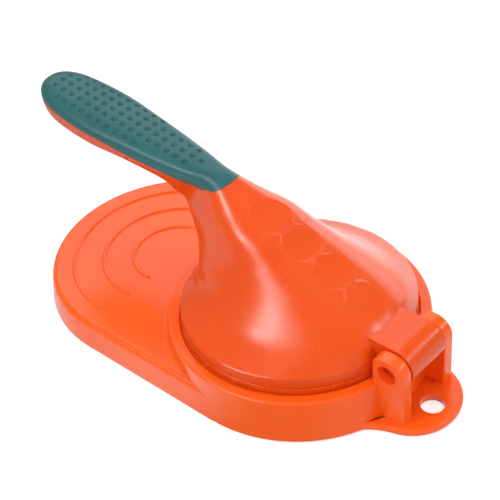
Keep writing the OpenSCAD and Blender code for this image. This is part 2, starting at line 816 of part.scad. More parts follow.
// Thumb dimples on the bell's top line: balls that dip scallop_depth into it
module scallops() {
    ball = (scallop_r * scallop_r + scallop_depth * scallop_depth) / (2 * scallop_depth);
    for (u = scallop_places) {
        here = through(sections, u);
        ahead = through(sections, u + 0.1);
        way = [ahead[0] - here[0], ahead[1] - here[1]] / norm([ahead[0] - here[0], ahead[1] - here[1]]);
        lift = ball - scallop_depth;
        translate([here[0] - way[1] * lift, 0, here[1] + way[0] * lift]) sphere(ball, $fn = 96);
    }
}

module lid_shell() {
    color(orange) on_ring() difference() {
        union() {
            difference() {
                lid_outer();
                difference() {
                    grip_zone(grip_gap);
                    lid_core(grip_gap);
                }
                difference() {
                    lid_hollow();
                    at_screws() cylinder(r = boss_r, h = 3 * rim_h, $fn = 32);
                    for (k = [0, 1]) translate([cover_screw_seat(k)[0], 0, 0])
                        cylinder(r = boss_r, h = 2 * handle_rise, $fn = 32);
                }
                cover_zone(cover_gap);
                scallops();
            }
            difference() {
                translate([0, 0, seam_h + seam_gap])
                    cylinder(r = lid_r, h = rim_h - rim_step / 8 - seam_h - seam_gap);
                cylinder(r = lid_r - bell_wall, h = rim_h + over);
            }
            at_screws() translate([0, 0, web_top + screw_gap])
                cylinder(r = boss_r + boss_step, h = rim_h - web_top + 1, $fn = 32);
        }
        // pilot holes for the screws
        at_screws() cylinder(r = screw_r + screw_gap, h = flange_z + screw_len + screw_tip_room, $fn = 32);
        for (k = [0, 1]) translate([cover_screw_seat(k)[0], 0, cover_screw_seat(k)[1]])
            cylinder(r = screw_r + screw_gap, h = cover_screw_len(k) + screw_tip_room, $fn = 32);
        // slot for the lug
        translate([lid_r - lug_root - lug_gap, -lug_w / 2 - lug_gap, -over])
            cube([lug_root + hinge_set, lug_w + 2 * lug_gap, hinge_rise + lug_r + lug_gap / 4 + over]);
    }
}

base();
foot_front_left();
foot_front_right();
foot_rear_left();
foot_rear_right();
hinge_pin();
press_plate();
press_disc();
plate_screws();
lid_shell();
handle_cover();
cover_screws();
grip();
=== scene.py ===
"""Moulded surfaces, finishes and studio of a hand press for filled dough rounds.

Shapes are worked out in millimetres about the centre of the well at the underside of the base,
with +X towards the hinge and +Z up. place() carries them into the frame, in metres.
"""

import json
import math

import bmesh
import bpy
import numpy as np
from mathutils import Matrix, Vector
from numpy import concatenate as join


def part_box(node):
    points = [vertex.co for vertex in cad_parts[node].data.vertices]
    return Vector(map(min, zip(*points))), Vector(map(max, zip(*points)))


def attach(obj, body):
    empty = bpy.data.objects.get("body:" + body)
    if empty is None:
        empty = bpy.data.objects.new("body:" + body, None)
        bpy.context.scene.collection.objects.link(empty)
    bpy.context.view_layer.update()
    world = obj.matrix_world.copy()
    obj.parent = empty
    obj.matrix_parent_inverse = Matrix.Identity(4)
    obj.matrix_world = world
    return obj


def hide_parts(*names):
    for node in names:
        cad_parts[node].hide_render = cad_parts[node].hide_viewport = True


bl_info = {
    "name": "Empanada press",
    "version": (1, 0, 0),
    "blender": (4, 5, 0),
    "location": "3D View > Sidebar > Press",
    "description": "Moulded surfaces, finishes and studio of a hand press for filled dough",
    "category": "Object",
}

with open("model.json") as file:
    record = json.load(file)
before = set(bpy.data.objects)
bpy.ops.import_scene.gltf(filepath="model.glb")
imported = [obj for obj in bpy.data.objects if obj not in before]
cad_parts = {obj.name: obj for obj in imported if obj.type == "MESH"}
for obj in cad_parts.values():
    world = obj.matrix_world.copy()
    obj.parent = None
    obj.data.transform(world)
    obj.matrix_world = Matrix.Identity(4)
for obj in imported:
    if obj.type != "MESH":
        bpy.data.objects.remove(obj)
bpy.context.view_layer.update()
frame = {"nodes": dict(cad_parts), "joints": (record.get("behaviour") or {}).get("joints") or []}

MM = 1000.0  # millimetres in a metre


# ---------- places taken from the frame, in millimetres ----------

def corners(node):
    """Lowest and highest corner of a CAD node."""
    return np.array([list(c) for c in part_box(node)]) * MM


BASE_LOW, BASE_HIGH = corners("base")
DISC_LOW, DISC_HIGH = corners("press_disc")
PIN_LOW, PIN_HIGH = corners("hinge_pin")
FOOT_LOW, FOOT_HIGH = corners("foot_front_left")
ORIGIN = np.array([(DISC_LOW[0] + DISC_HIGH[0]) / 2, 0, BASE_LOW[2]])
HINGE_X, _, HINGE_Z = np.array(frame["joints"][0]["pos_m"]) * MM - ORIGIN
AXIS = (HINGE_X, HINGE_Z)
BODY_R = (BASE_HIGH[1] - BASE_LOW[1]) / 2
TRAY_X = BASE_LOW[0] + BODY_R - ORIGIN[0]
LID_R = ORIGIN[0] - corners("press_plate")[0, 0]
DISC_TOP_R = ORIGIN[0] - DISC_LOW[0]
TIP_X = corners("grip")[0, 0] - ORIGIN[0]
TAB_R = BASE_HIGH[0] - ORIGIN[0] - HINGE_X
PIN_R = (PIN_HIGH[0] - PIN_LOW[0]) / 2
PIN_HALF = (PIN_HIGH[1] - PIN_LOW[1]) / 2
FOOT_R = (FOOT_HIGH[0] - FOOT_LOW[0]) / 2


def place(points):
    """Well-centred millimetres to metres in the frame."""
    return (np.asarray(points, float) + ORIGIN) / MM


# ---------- sizes and colours a user would change ----------

def length(name, description, millimetres):
    return bpy.props.FloatProperty(
        name=name, description=description, default=millimetres / MM, min=0, unit="LENGTH")


def linear(hex_colour):
    """sRGB hex to linear red, green, blue."""
    parts = [int(hex_colour[i:i + 2], 16) / 255 for i in (1, 3, 5)]
    return [c / 12.92 if c <= 0.04045 else ((c + 0.055) / 1.055) ** 2.4 for c in parts]


def colour(name, description, hex_colour):
    return bpy.props.FloatVectorProperty(
        name=name, description=description, subtype="COLOR", size=3, min=0, max=1,
        default=linear(hex_colour))


class PressSizes(bpy.types.PropertyGroup):
    """Sizes of the moulded surfaces. What they meet comes from the frame."""
    tray_height: length("Tray height", "Height of the tray's floor above the underside", 12.3)
    tray_edge: length("Tray edge", "Rounding of the tray's outer edge", 3)
    ring_height: length("Ring height", "Height of the flat ring around the well", 18.7)
    ring_edge: length("Ring edge", "Rounding of the ring's outer edge", 1.2)
    ring_foot: length("Ring foot", "Fillet between the ring and the tray's floor", 2.6)
    well_radius: length("Well radius", "Radius of the well", 45)
    well_depth: length("Well depth", "Depth of the well below the ring", 9)
    wall: length("Wall", "Thickness of the base's walls and floors", 2.6)
    ridge_first: length("First ridge", "Radius of the innermost tray ridge", 18.1)
    ridge_pitch: length("Ridge pitch", "Distance from one ridge to the next", 12.85)
    ridge_width: length("Ridge width", "Width of a tray ridge at its foot", 2.1)
    ridge_height: length("Ridge height", "Height of a tray ridge", 0.85)
    tab_height: length("Tab height", "Thickness of the hanging tab", 3.4)
    tab_edge: length("Tab edge", "Rounding of the tab's upper edge", 1.3)
    hang_radius: length("Hanging hole", "Radius of the hanging hole", 4.7)
    ear_space: length("Ear space", "Distance between the hinge ears", 21.4)
    ear_thickness: length("Ear thickness", "Thickness of a hinge ear", 5.4)
    seam_height: length("Seam height", "Height of the seam above the ring", 2.2)
    rim_height: length("Rim height", "Height of the bell's crease above the ring", 7.3)
    scallop_radius: length("Thumb dimple radius", "Radius of a dimple on the bell's crest", 8.8)
    scallop_depth: length("Thumb dimple depth", "Depth of a dimple on the bell's crest", 0.9)
    scallop_lip: length("Thumb dimple lip", "Height of the step at a dimple's rim", 0.22)
    grip_thickness: length("Grip thickness", "Thickness of the soft grip", 2)
    dot_radius: length("Grip dot radius", "Radius of a small round dimple in the grip", 1.15)
    dot_depth: length("Grip dot depth", "Depth of a small round dimple in the grip", 0.95)
    dot_pitch: length("Grip dot pitch", "Distance between the dimples along the grip", 4.8)
    dot_row: length("Grip row pitch", "Distance between the rows of dimples", 4.4)
    band_height: length("Handle band", "Height of the shell between the grip and the cover", 3)


class PressColours(bpy.types.PropertyGroup):
    """Colours of the plastics and rubbers."""
    base: colour("Base", "Coral orange polypropylene of the base", "#fd6015")
    # the lid's coral is a darker copy of the base's polypropylene colour: painted shade for the
    # bell and handle
    lid: colour("Lid", "Coral orange polypropylene of the lid", "#e7510f")
    # the pin's deep orange, darker than the base's, is painted shade: the pin shows only deep
    # inside the ear's hole
    pin: colour("Pin", "Deep orange of the hinge pin", "#dc2a0c")
    grip: colour("Grip", "Grey teal of the soft grip", "#255c5e")
    foot: colour("Feet", "Dark grey of the rubber feet", "#3a3d40")
    steel: colour("Screws", "Grey of the zinc-plated screws", "#b4b7ba")


def size(name):
    """A size of the panel in millimetres."""
    return getattr(bpy.context.scene.press_sizes, name) * MM


def tint(name):
    return (*getattr(bpy.context.scene.press_colours, name), 1)


# ---------- materials ----------

def empty_tree(owner):
    """The node tree of a material or a world, without its nodes."""
    owner.use_nodes = True
    owner.node_tree.nodes.clear()
    return owner.node_tree


def add_node(tree, kind, inputs=(), **settings):
    """Adds a node, with its settings, and its inputs as values or as (node, output) links."""
    node = tree.nodes.new(kind)
    for key, value in settings.items():
        setattr(node, key, value)
    for key, value in dict(inputs).items():
        if isinstance(value, tuple) and isinstance(value[0], bpy.types.Node):
            tree.links.new(value[0].outputs[value[1]], node.inputs[key])
        else:
            node.inputs[key].default_value = value
    return node


NOISE_LOW, NOISE_HIGH = 0.3, 0.7  # the range that noise keeps to, more or less


def shaded(base_colour, times, plus=0.0):
    """A colour whose red, green and blue are multiplied and then lifted."""
    return tuple(min(1, c * times + plus) for c in base_colour[:3]) + (1,)


def surface(name, shades, flow, wear, rough, share=1.0, relief=(), **uniform):
    """A material with one Principled shader, whose uniform values sit on its own sockets. Its
    colour wanders from the first shade towards the second, up to a share of the way, and its
    roughness between two values, by the noises flow and wear: each the size of its clouds in
    millimetres, its detail and its roughness. The relief is bumps, one on top of the other: each
    a texture, one of its outputs and its inputs, and then its grain and its height in
    millimetres and its strength."""
    material = bpy.data.materials.new(name)
    tree = empty_tree(material)
    where = add_node(tree, "ShaderNodeTexCoord")
    wander = []
    for (cloud, detail, roughness), low, high in ((flow, 0.0, share), (wear, *rough)):
        noise = add_node(tree, "ShaderNodeTexNoise", {
            "Vector": (where, "Object"), "Scale": MM / cloud, "Detail": detail,
            "Roughness": roughness})
        wander.append(add_node(tree, "ShaderNodeMapRange", {
            "Value": (noise, "Fac"), "From Min": NOISE_LOW, "From Max": NOISE_HIGH,
            "To Min": low, "To Max": high}))
    mixed = add_node(tree, "ShaderNodeMix", {
        "Factor": (wander[0], "Result"), "A": shades[0], "B": shades[1]}, data_type="RGBA")
    raised = {}
    for kind, output, inputs, grain, height, strength in relief:
        texture = add_node(tree, kind, {
            "Vector": (where, "Object"), "Scale": MM / grain, **inputs})
        bump = add_node(tree, "ShaderNodeBump", {
            "Strength": strength, "Distance": height / MM, "Height": (texture, output), **raised})
        raised = {"Normal": (bump, "Normal")}
    shader = add_node(tree, "ShaderNodeBsdfPrincipled", {
        "Base Color": (mixed, "Result"), "Roughness": (wander[1], "Result"), **raised,
        **{key.replace("_", " "): value for key, value in uniform.items()}})
    add_node(tree, "ShaderNodeOutputMaterial", {"Surface": (shader, "BSDF")})
    return material


def moulded_polypropylene(name, base_colour, gloss):
    """Polypropylene, injection moulded in a polished tool: glossy, with a little flow variation
    in its colour, a faint broad waviness where the wall shrank, and the tool's fine texture."""
    return surface(
        name, (base_colour, shaded(base_colour, 0.94)), flow=(45, 3, 0.5), wear=(6, 4, 0.6),
        rough=(gloss - 0.03, gloss + 0.04),
        relief=(("ShaderNodeTexNoise", "Fac", {"Detail": 1}, 14, 0.1, 0.12),
                ("ShaderNodeTexNoise", "Fac", {"Detail": 2}, 0.6, 0.03, 0.05)),
        IOR=1.49, Specular_IOR_Level=0.45, Subsurface_Weight=0.35,
        Subsurface_Radius=(1.0, 0.2, 0.07), Subsurface_Scale=0.003)


def soft_elastomer(name, base_colour):
    """Thermoplastic elastomer over-moulded on the handle: matt, with a fine leathery tool texture
    that shows only as a broken sheen."""
    return surface(
        name, (base_colour, shaded(base_colour, 1.12)), flow=(20, 3, 0.5), wear=(1.2, 3, 0.5),
        rough=(0.34, 0.44), relief=(("ShaderNodeTexVoronoi", "Distance", {}, 0.7, 0.06, 0.25),),
        IOR=1.5, Specular_IOR_Level=0.36)


def pressed_rubber(name, base_colour):
    """Rubber pressed in a cut tool: nearly black, dull, with dust in its pores."""
    dust = (1.5, 5, 0.7)
    pores = ("ShaderNodeTexNoise", "Fac", {"Detail": 5, "Roughness": 0.7}, 1.5, 0.05, 0.3)
    return surface(name, (base_colour, shaded(base_colour, 0.7, 0.06)), flow=dust, wear=dust,
                   rough=(0.6, 0.8), share=0.6, relief=(pores,), IOR=1.52)


def zinc_plated_steel(name, base_colour):
    """Cold-headed steel with a bright zinc coat: metallic, a little cloudy, unevenly polished."""
    cloud = (1.0, 3, 0.5)
    return surface(name, (base_colour, shaded(base_colour, 0.82)), flow=cloud, wear=cloud,
                   rough=(0.25, 0.4), Metallic=1.0)


FINISHES = {
    "base": (moulded_polypropylene, "polypropylene_base", 0.22),
    "lid": (moulded_polypropylene, "polypropylene_lid", 0.25),
    "pin": (moulded_polypropylene, "acetal_pin", 0.33),
    "grip": (soft_elastomer, "elastomer_grip"),
    "foot": (pressed_rubber, "rubber_feet"),
    "steel": (zinc_plated_steel, "zinc_plated_steel"),
}


def finish(kind):
    """The material of a kind of piece, made once."""
    make, name, *values = FINISHES[kind]
    return bpy.data.materials.get(name) or make(name, tint(kind), *values)


# ---------- mesh building ----------

def quads(rows, columns, wrap_rows, wrap_columns):
    """Corner numbers of the faces of a grid of points, which may close on itself either way."""
    i = np.arange(rows if wrap_rows else rows - 1)[:, None]
    j = np.arange(columns if wrap_columns else columns - 1)[None, :]
    i2, j2 = (i + 1) % rows, (j + 1) % columns
    corner = np.stack(np.broadcast_arrays(
        i * columns + j, i2 * columns + j, i2 * columns + j2, i * columns + j2), -1)
    return corner.reshape(-1, 4)


def add_object(name, data):
    made = bpy.data.objects.new(name, data)
    bpy.context.scene.collection.objects.link(made)
    return made


DOUBLES = 2e-6  # points nearer to each other than this, in metres, become one
SLIVER = 1e-7  # shorter edges than this, in metres, go


def piece(name, grid, wrap_rows=False, wrap_columns=True):
    """A mesh from a grid of points, which may close on itself either way. Doubles are merged,
    which closes seams and poles, and then the faces are turned outwards."""
    points, faces = place(grid).reshape(-1, 3), quads(*grid.shape[:2], wrap_rows, wrap_columns)
    mesh = bpy.data.meshes.new(name)
    mesh.vertices.add(len(points))
    mesh.vertices.foreach_set("co", points.astype(np.float32).ravel())
    mesh.loops.add(faces.size)
    mesh.loops.foreach_set("vertex_index", faces.astype(np.int32).ravel())
    mesh.polygons.add(len(faces))
    mesh.polygons.foreach_set("loop_start", np.arange(0, faces.size, 4, dtype=np.int32))
    mesh.update(calc_edges=True)
    work = bmesh.new()
    work.from_mesh(mesh)
    bmesh.ops.remove_doubles(work, verts=work.verts, dist=DOUBLES)
    bmesh.ops.dissolve_degenerate(work, dist=SLIVER, edges=work.edges)
    bmesh.ops.recalc_face_normals(work, faces=work.faces)
    work.to_mesh(mesh)
    work.free()
    return add_object(name, mesh)


def combine(target, tools, operation):
    """Unites target with the tools, or cuts them from it, and removes the tools."""
    for tool in tools:
        cut = target.modifiers.new("cut", "BOOLEAN")
        cut.operation, cut.solver, cut.object = operation, "MANIFOLD", tool
    graph = bpy.context.evaluated_depsgraph_get()
    solid = bpy.data.meshes.new_from_object(target.evaluated_get(graph))
    target.modifiers.clear()
    target.data = solid
    for tool in tools:
        bpy.data.objects.remove(tool)
    return target


CREASE = 32  # the least angle in degrees at which a crease stays sharp
FLAT_WEIGHT = 90  # how strongly large faces keep the faces beside them flat


def dress(made, kind, body, node, crease=CREASE):
    """Gives a moulded piece its material, smooth shading with its creases and flats kept, and its
    body, and hides the CAD node that it stands for."""
    made.data.materials.clear()
    made.data.materials.append(finish(kind))
    made.data.polygons.foreach_set("use_smooth", np.ones(len(made.data.polygons), bool))
    made.data.set_sharp_from_angle(angle=math.radians(crease))
    flats = made.modifiers.new("flats", "WEIGHTED_NORMAL")
    flats.keep_sharp, flats.weight = True, FLAT_WEIGHT
    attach(made, body)
    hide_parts(node)


TINY = 1e-12  # keeps a length of nought from dividing


def unit(vectors, least=0.0):
    """Vectors brought to length one."""
    return vectors / (np.linalg.norm(vectors, axis=-1, keepdims=True) + least)


def smoothstep(low, high, value):
    """Rises from 0 at low to 1 at high by 3 t^2 - 2 t^3."""
    t = np.clip((value - low) / (high - low), 0, 1)
    return t * t * (3 - 2 * t)


def arc(centre, radius, start, end, steps):
    """Points on an arc in a plane, from one angle to another in degrees."""
    a = np.radians(np.linspace(start, end, steps + 1))
    return np.stack([centre[0] + radius * np.cos(a), centre[1] + radius * np.sin(a)], -1)


def circle(radius, height, angle):
    """Points round an upright axis, whose distance and height may change with the angle."""
    return np.stack([radius * np.cos(angle), radius * np.sin(angle), height + 0 * angle], -1)


def turned(profile, columns=192, centre=(0, 0)):
    """A profile of (radius, height) turned about an upright axis: each point goes in a circle."""
    profile = np.asarray(profile, float)
    angle = np.linspace(0, 2 * np.pi, columns, endpoint=False)
    return circle(profile[:, :1], profile[:, 1:], angle) + [*centre, 0]


def drum(radius, low, high):
    """Profile of a plain cylinder, to be turned."""
    return [[0, low], [radius, low], [radius, high], [0, high]]


def turned_piece(name, profile, columns=192, centre=(0, 0)):
    return piece(name, turned(profile, columns, centre))


def block(name, low, high):
    """A plain box as a cutting tool: a square profile carried from end to end."""
    (x0, y0, z0), (x1, y1, z1) = low, high
    ring = np.array([[y0, z0], [y1, z0], [y1, z1], [y0, z1]])
    middle = ring.mean(0) + 0 * ring
    rows = [(x0, middle), (x0, ring), (x1, ring), (x1, middle)]
    return piece(name, np.stack([join([np.full((4, 1), x), yz], 1) for x, yz in rows]))


EYE_STEPS = 6  # steps in the rounding of a plate's edge
FACE_STEPS = 5  # steps across a plate's flat face


def eye_plate(outline, eye, eye_r, low, high, edge, eye_edge):
    """A plate of any outline with a round eye through it, and rounded edges. Rows run from the
    eye's wall over one face, round the outer edge, back over the other face and close; columns
    follow the outline, each with the point of the eye that lies in its direction. Coordinates are
    the outline's two and then the height between low and high."""
    outline = np.asarray(outline, float)
    ahead = unit(np.roll(outline, -1, 0) - np.roll(outline, 1, 0), TINY)
    inward = np.stack([-ahead[:, 1], ahead[:, 0]], -1)
    out_of_eye = unit(outline - eye)
    quarter = np.radians(np.linspace(0, 90, EYE_STEPS + 1))
    into, off = 1 - np.sin(quarter), 1 - np.cos(quarter)

    def level(plan, height):
        return join([plan, np.full((len(plan), 1), height)], 1)

    def eye_ring(offset, height):
        return level(eye + out_of_eye * (eye_r + offset), height)

    def rim(offset, height):
        return level(outline + inward * offset, height)

    def between(a, b):
        return [a + (b - a) * k / FACE_STEPS for k in range(1, FACE_STEPS)]

    fine = list(zip(eye_edge * into[::2], eye_edge * off[::2]))
    broad = list(zip(edge * into, edge * off))
    rows = [eye_ring(p, low + q) for p, q in fine] + [eye_ring(q, high - p) for p, q in fine]
    top = rim(edge, high)
    rows += between(rows[-1], top) + [top]
    rows += [rim(p, high - q) for p, q in broad[1:]] + [rim(q, low + p) for p, q in broad]
    return np.stack(rows + between(rows[-1], rows[0]))


def upright(grid):
    """Turns a shape that was worked out in X and Z so that its height runs along Y."""
    return grid[..., [0, 2, 1]]


SPACING = 0.7  # the most between two points of a plate's outline


def closed_path(*stretches):
    """A closed outline through arcs and corners, with points no further apart than SPACING."""
    corner = join([np.atleast_2d(s) for s in stretches])
    points = []
    for a, b in zip(corner, np.roll(corner, -1, 0)):
        count = max(1, math.ceil(np.linalg.norm(b - a) / SPACING))
        points.append(a + (b - a) * np.arange(count)[:, None] / count)
    return join(points)


# ---------- the base ----------

WALL_LEAN = math.tan(math.radians(7.4))  # run of the outer walls for each millimetre of height
EDGE_STEPS = 12  # steps in a rounded edge's quarter
FOOT_EDGE = 0.6  # rounding of the walls where they meet the table
RIDGES = 3  # number of ridges on the tray
RUN_ON = 0.7  # run of the ridges past the half circle


def edge_points(foot, top, radius):
    """Profile of a leaning wall from the table up, with a small lower and a rounded upper edge."""
    lean = math.degrees(math.atan(WALL_LEAN))
    setback = radius * math.tan(math.radians(45 - lean / 2))
    centre = (foot - top * WALL_LEAN - setback, top - radius)
    lower = arc((foot - FOOT_EDGE, FOOT_EDGE), FOOT_EDGE, -90, lean, 4)
    return join([lower, arc(centre, radius, lean, 90, EDGE_STEPS)])


def tray_body():
    """The tray, as a profile carried round a stadium: a point at distance r from the outline's
    middle line goes to r times the path's normal, from either end's centre or from the line
    between them. The profile runs from the middle of the floor over the edge, down the wall and
    back under the floor. Round the handle's end the floor carries the ridges: within half a
    ridge's width of its middle line, which stops just past the half circle, it rises in a smooth
    step."""
    top, wall = size("tray_height"), size("wall")
    half = size("ridge_width") / 2
    middles = [size("ridge_first") + k * size("ridge_pitch") for k in range(RIDGES)]
    outside = edge_points(BODY_R, top, size("tray_edge"))[::-1]
    inner, under = BODY_R - wall, top - wall
    inside = np.array([[inner, FOOT_EDGE], [inner - (under - 1) * WALL_LEAN, under - 1],
                       [inner - under * WALL_LEAN - 1, under], [0, under]])
    floor = join([[0], *[m + half * np.linspace(-1, 1, 15) for m in middles],
                            [outside[0, 0] - 0.5]])
    profile = join([np.stack([floor, np.full(len(floor), top)], -1), outside, inside])
    ends = np.radians(np.linspace(90, 270, 181))
    run_on = np.linspace(0, RUN_ON + half, 13)[1:]
    straight = TRAY_X + join([run_on, np.linspace(run_on[-1], -TRAY_X, 30)[1:-1]])
    side = np.ones(len(straight))
    angle = join([ends, 1.5 * np.pi * side, ends + np.pi, 0.5 * np.pi * side])
    middle = join([TRAY_X + 0 * ends, straight, 0 * ends, straight[::-1]])
    r, z = profile[:, :1], profile[:, 1:] + 0 * angle
    past = np.maximum(middle - TRAY_X - RUN_ON, 0)
    for m in middles:
        away = np.hypot(r[:len(floor)] - m, past) / half
        z[:len(floor)] += size("ridge_height") * (1 - smoothstep(0.3, 1, away))
    return piece("tray", np.stack([middle + r * np.cos(angle), r * np.sin(angle), z], -1))


LEDGE_PLAY = 0.25  # gap between the plate's edge and the wall of its ledge
LEDGE_DROP = 1.0  # depth of that ledge below the ring
LAP = 0.06  # how far the ring's fillet starts below the tray's floor
SUNK_FOOT = 10.2  # height at which the ring's wall ends inside the tray's floor
RING_SKIN = 3.6  # thickness of the ring's flat top
WELL_FLOOR_R = 1.0  # rounding between the well's floor and its wall


def ring_body():
    """The ring and the well, turned about the well's axis. On the tray's side the outer wall
    starts inside the tray's floor and flares into it: at a height h above the floor, under the
    fillet's radius f, the wall stands f - sqrt(f^2 - (f - h)^2) further out. The rows run from
    the middle of the well over the ring, down the outer wall and back under the floor."""
    ring, floor_z = size("ring_height"), size("ring_height") - size("well_depth")
    wall, well, tray = size("wall"), size("well_radius"), size("tray_height")
    edge, fillet, ledge_r = size("ring_edge"), size("ring_foot"), LID_R + LEDGE_PLAY
    angle = np.linspace(0, 2 * np.pi, 360, endpoint=False)
    sunk = smoothstep(0.02, 0.16, -np.cos(angle))
    flare = fillet * smoothstep(0.22, 0.6, -np.cos(angle)) + 1e-6
    shelf = ring - LEDGE_DROP
    upper = edge_points(BODY_R, ring, edge)
    rows = [[0, floor_z], [well - WELL_FLOOR_R, floor_z],
            *arc((well - WELL_FLOOR_R, floor_z + WELL_FLOOR_R), WELL_FLOOR_R, -90, 0, 4),
            [well, shelf - 0.3], [well + 0.3, shelf], [ledge_r, shelf],
            [ledge_r + 0.95, ring - 0.05], [ledge_r + 1.15, ring],
            *upper[upper[:, 1] > ring - edge - 0.01][::-1]]
    for height in np.linspace(ring - edge - 0.6, tray + fillet, 4)[:-1]:
        rows.append((BODY_R - height * WALL_LEAN, height))
    for turn in np.radians(np.linspace(0, 90, 11)):
        height = tray - LAP + (fillet + LAP) * (1 - np.sin(turn))
        h = np.minimum(height - tray + LAP, flare)
        out = flare - np.sqrt(np.maximum(flare ** 2 - (flare - h) ** 2, 0))
        rows.append((BODY_R - height * WALL_LEAN + out, height))
    foot = SUNK_FOOT * sunk
    inner = BODY_R - wall
    rows.append((BODY_R - tray * WALL_LEAN + flare * sunk, np.maximum(tray - 0.5, foot)))
    for height in (6.0, 4.2, FOOT_EDGE):
        lean = height * WALL_LEAN * (1 - sunk)
        rows.append((BODY_R - lean - tray * WALL_LEAN * sunk, np.maximum(height, foot + 0.1)))
    groove = np.maximum(foot + 0.1, (ring - RING_SKIN) * (1 - sunk) + (SUNK_FOOT + 0.1) * sunk)
    rows += [(BODY_R - FOOT_EDGE - tray * WALL_LEAN * sunk, foot), (inner, foot + 0.02),
             (inner - groove * WALL_LEAN * (1 - sunk) - 1.2 * sunk, groove),
             (well + wall + 0.5, groove), (well + wall, groove - 0.05),
             (well + wall, floor_z - wall), (0.0, floor_z - wall)]
    return piece("ring", np.stack([circle(radius, height, angle) for radius, height in rows]))


TAB_BLEND = 25.0  # radius of the hollow curves between the tab and the body
ROOT_DEPTH = 2.3  # how far the tab's root lies inside the body's outline


def tab_outline():
    """Plan of the hanging tab: a round lobe about the hinge, and a hollow curve on each side
    that touches the lobe and a circle just inside the body. The root lies inside the wall."""
    reach, lobe = BODY_R - 1.2 + TAB_BLEND, TAB_R + TAB_BLEND
    cx = (reach ** 2 - lobe ** 2 + HINGE_X ** 2) / (2 * HINGE_X)
    cy = math.sqrt(reach ** 2 - cx ** 2)
    at_lobe = math.degrees(math.atan2(cy, cx - HINGE_X))
    at_body = math.degrees(math.atan2(cy, cx))
    lobe_arc = arc((HINGE_X, 0), TAB_R, -at_lobe, at_lobe, 60)
    near = arc((cx, cy), TAB_BLEND, 180 + at_lobe, 180 + at_body, 24)[1:]
    root = arc((0, 0), BODY_R - ROOT_DEPTH, at_body - 0.4, 0.4 - at_body, 30)
    return closed_path(lobe_arc, near, root, near[::-1] * [1, -1])


def ear_outline(x0, x1, z0, z1, front_r, back_r):
    """Outline of an upright plate whose two upper corners are rounded, counted anticlockwise."""
    return closed_path([[x0, z0], [x1, z0]], arc((x1 - front_r, z1 - front_r), front_r, 0, 90, 18),
                       arc((x0 + back_r, z1 - back_r), back_r, 90, 180, 12))


RIB_WIDTH, RIB_LIFT = 1.8, 1.2  # a rib's thickness, and its height above the table
RIB_PITCH, LONG_RIB_PITCH = 18.0, 19.0  # distances between the cross ribs and the long ribs
RIB_LAP = 1.2  # how far a rib reaches into the well's floor and wall
MID_WALL = BODY_R - 3.4  # distance at which the ribs end in the outer wall


def rib(name, start, end):
    """A rib under the base from start to end in plan: an upright strip whose top follows the
    floor that it meets, high under the tray, low under the well and deep inside the ring."""
    start, end = np.array(start, float), np.array(end, float)
    spine = start + (end - start) * np.linspace(0, 1, 120)[:, None]
    way = unit(end - start)
    side = np.array([-way[1], way[0]]) * RIB_WIDTH / 2
    under_well = size("ring_height") - size("well_depth") - RIB_LAP
    under_rest = np.where(spine[:, 0] < -6, size("tray_height") - 1.4, size("ring_height") - 3)
    inside = np.hypot(spine[:, 0], spine[:, 1]) < size("well_radius") + RIB_LAP
    top, foot = np.where(inside, under_well, under_rest), np.full(len(spine), RIB_LIFT)
    grid = np.stack([join([spine + s, z[:, None]], 1)
                     for s, z in ((side, foot), (-side, foot), (-side, top), (side, top))], 1)
    first, last = (end.mean(1, keepdims=True).repeat(4, 1) for end in (grid[:1], grid[-1:]))
    return piece(name, join([first, grid, last]))


def underside_ribs():
    """Three long ribs and a row of cross ribs, cut to end inside the outer wall."""
    made = []
    for k in (-1, 0, 1):
        y = k * LONG_RIB_PITCH
        reach = math.sqrt(MID_WALL ** 2 - y ** 2)
        made.append(rib(f"long_rib_{k + 1}", (TRAY_X - reach, y), (reach, y)))
    first, last = math.ceil((TRAY_X - MID_WALL) / RIB_PITCH), int(MID_WALL / RIB_PITCH)
    for k in range(first, last + 1):
        x = k * RIB_PITCH
        reach = math.sqrt(MID_WALL ** 2 - max(0, x, TRAY_X - x) ** 2)
        made.append(rib(f"cross_rib_{k - first}", (x, -reach), (x, reach)))
    return made


def foot_places():
    """Centres of the four feet, about the well."""
    for rear in ("front", "rear"):
        for side in ("left", "right"):
            low, high = corners(f"foot_{rear}_{side}")
            yield f"foot_{rear}_{side}", ((low + high) / 2 - ORIGIN)[:2]


PIN_PLAY = 0.05  # gap between the hinge pin and its bores
LUG_R = 8.35  # radius of the plate's lug round the pin
HANG_X = 10  # distance of the hanging hole from the hinge
# how far the ears reach from the hinge's axis to the well's side, the tab's side and the top
EAR_BACK, EAR_FRONT, EAR_TOP = 6.4, 7.9, 7.4
EAR_FRONT_R, EAR_BACK_R = 7.2, 4.8  # rounding of their corners on the two sides
BOSS_WALL, SEAT_DEPTH = 1.8, 1.4  # of the bosses that hold the feet


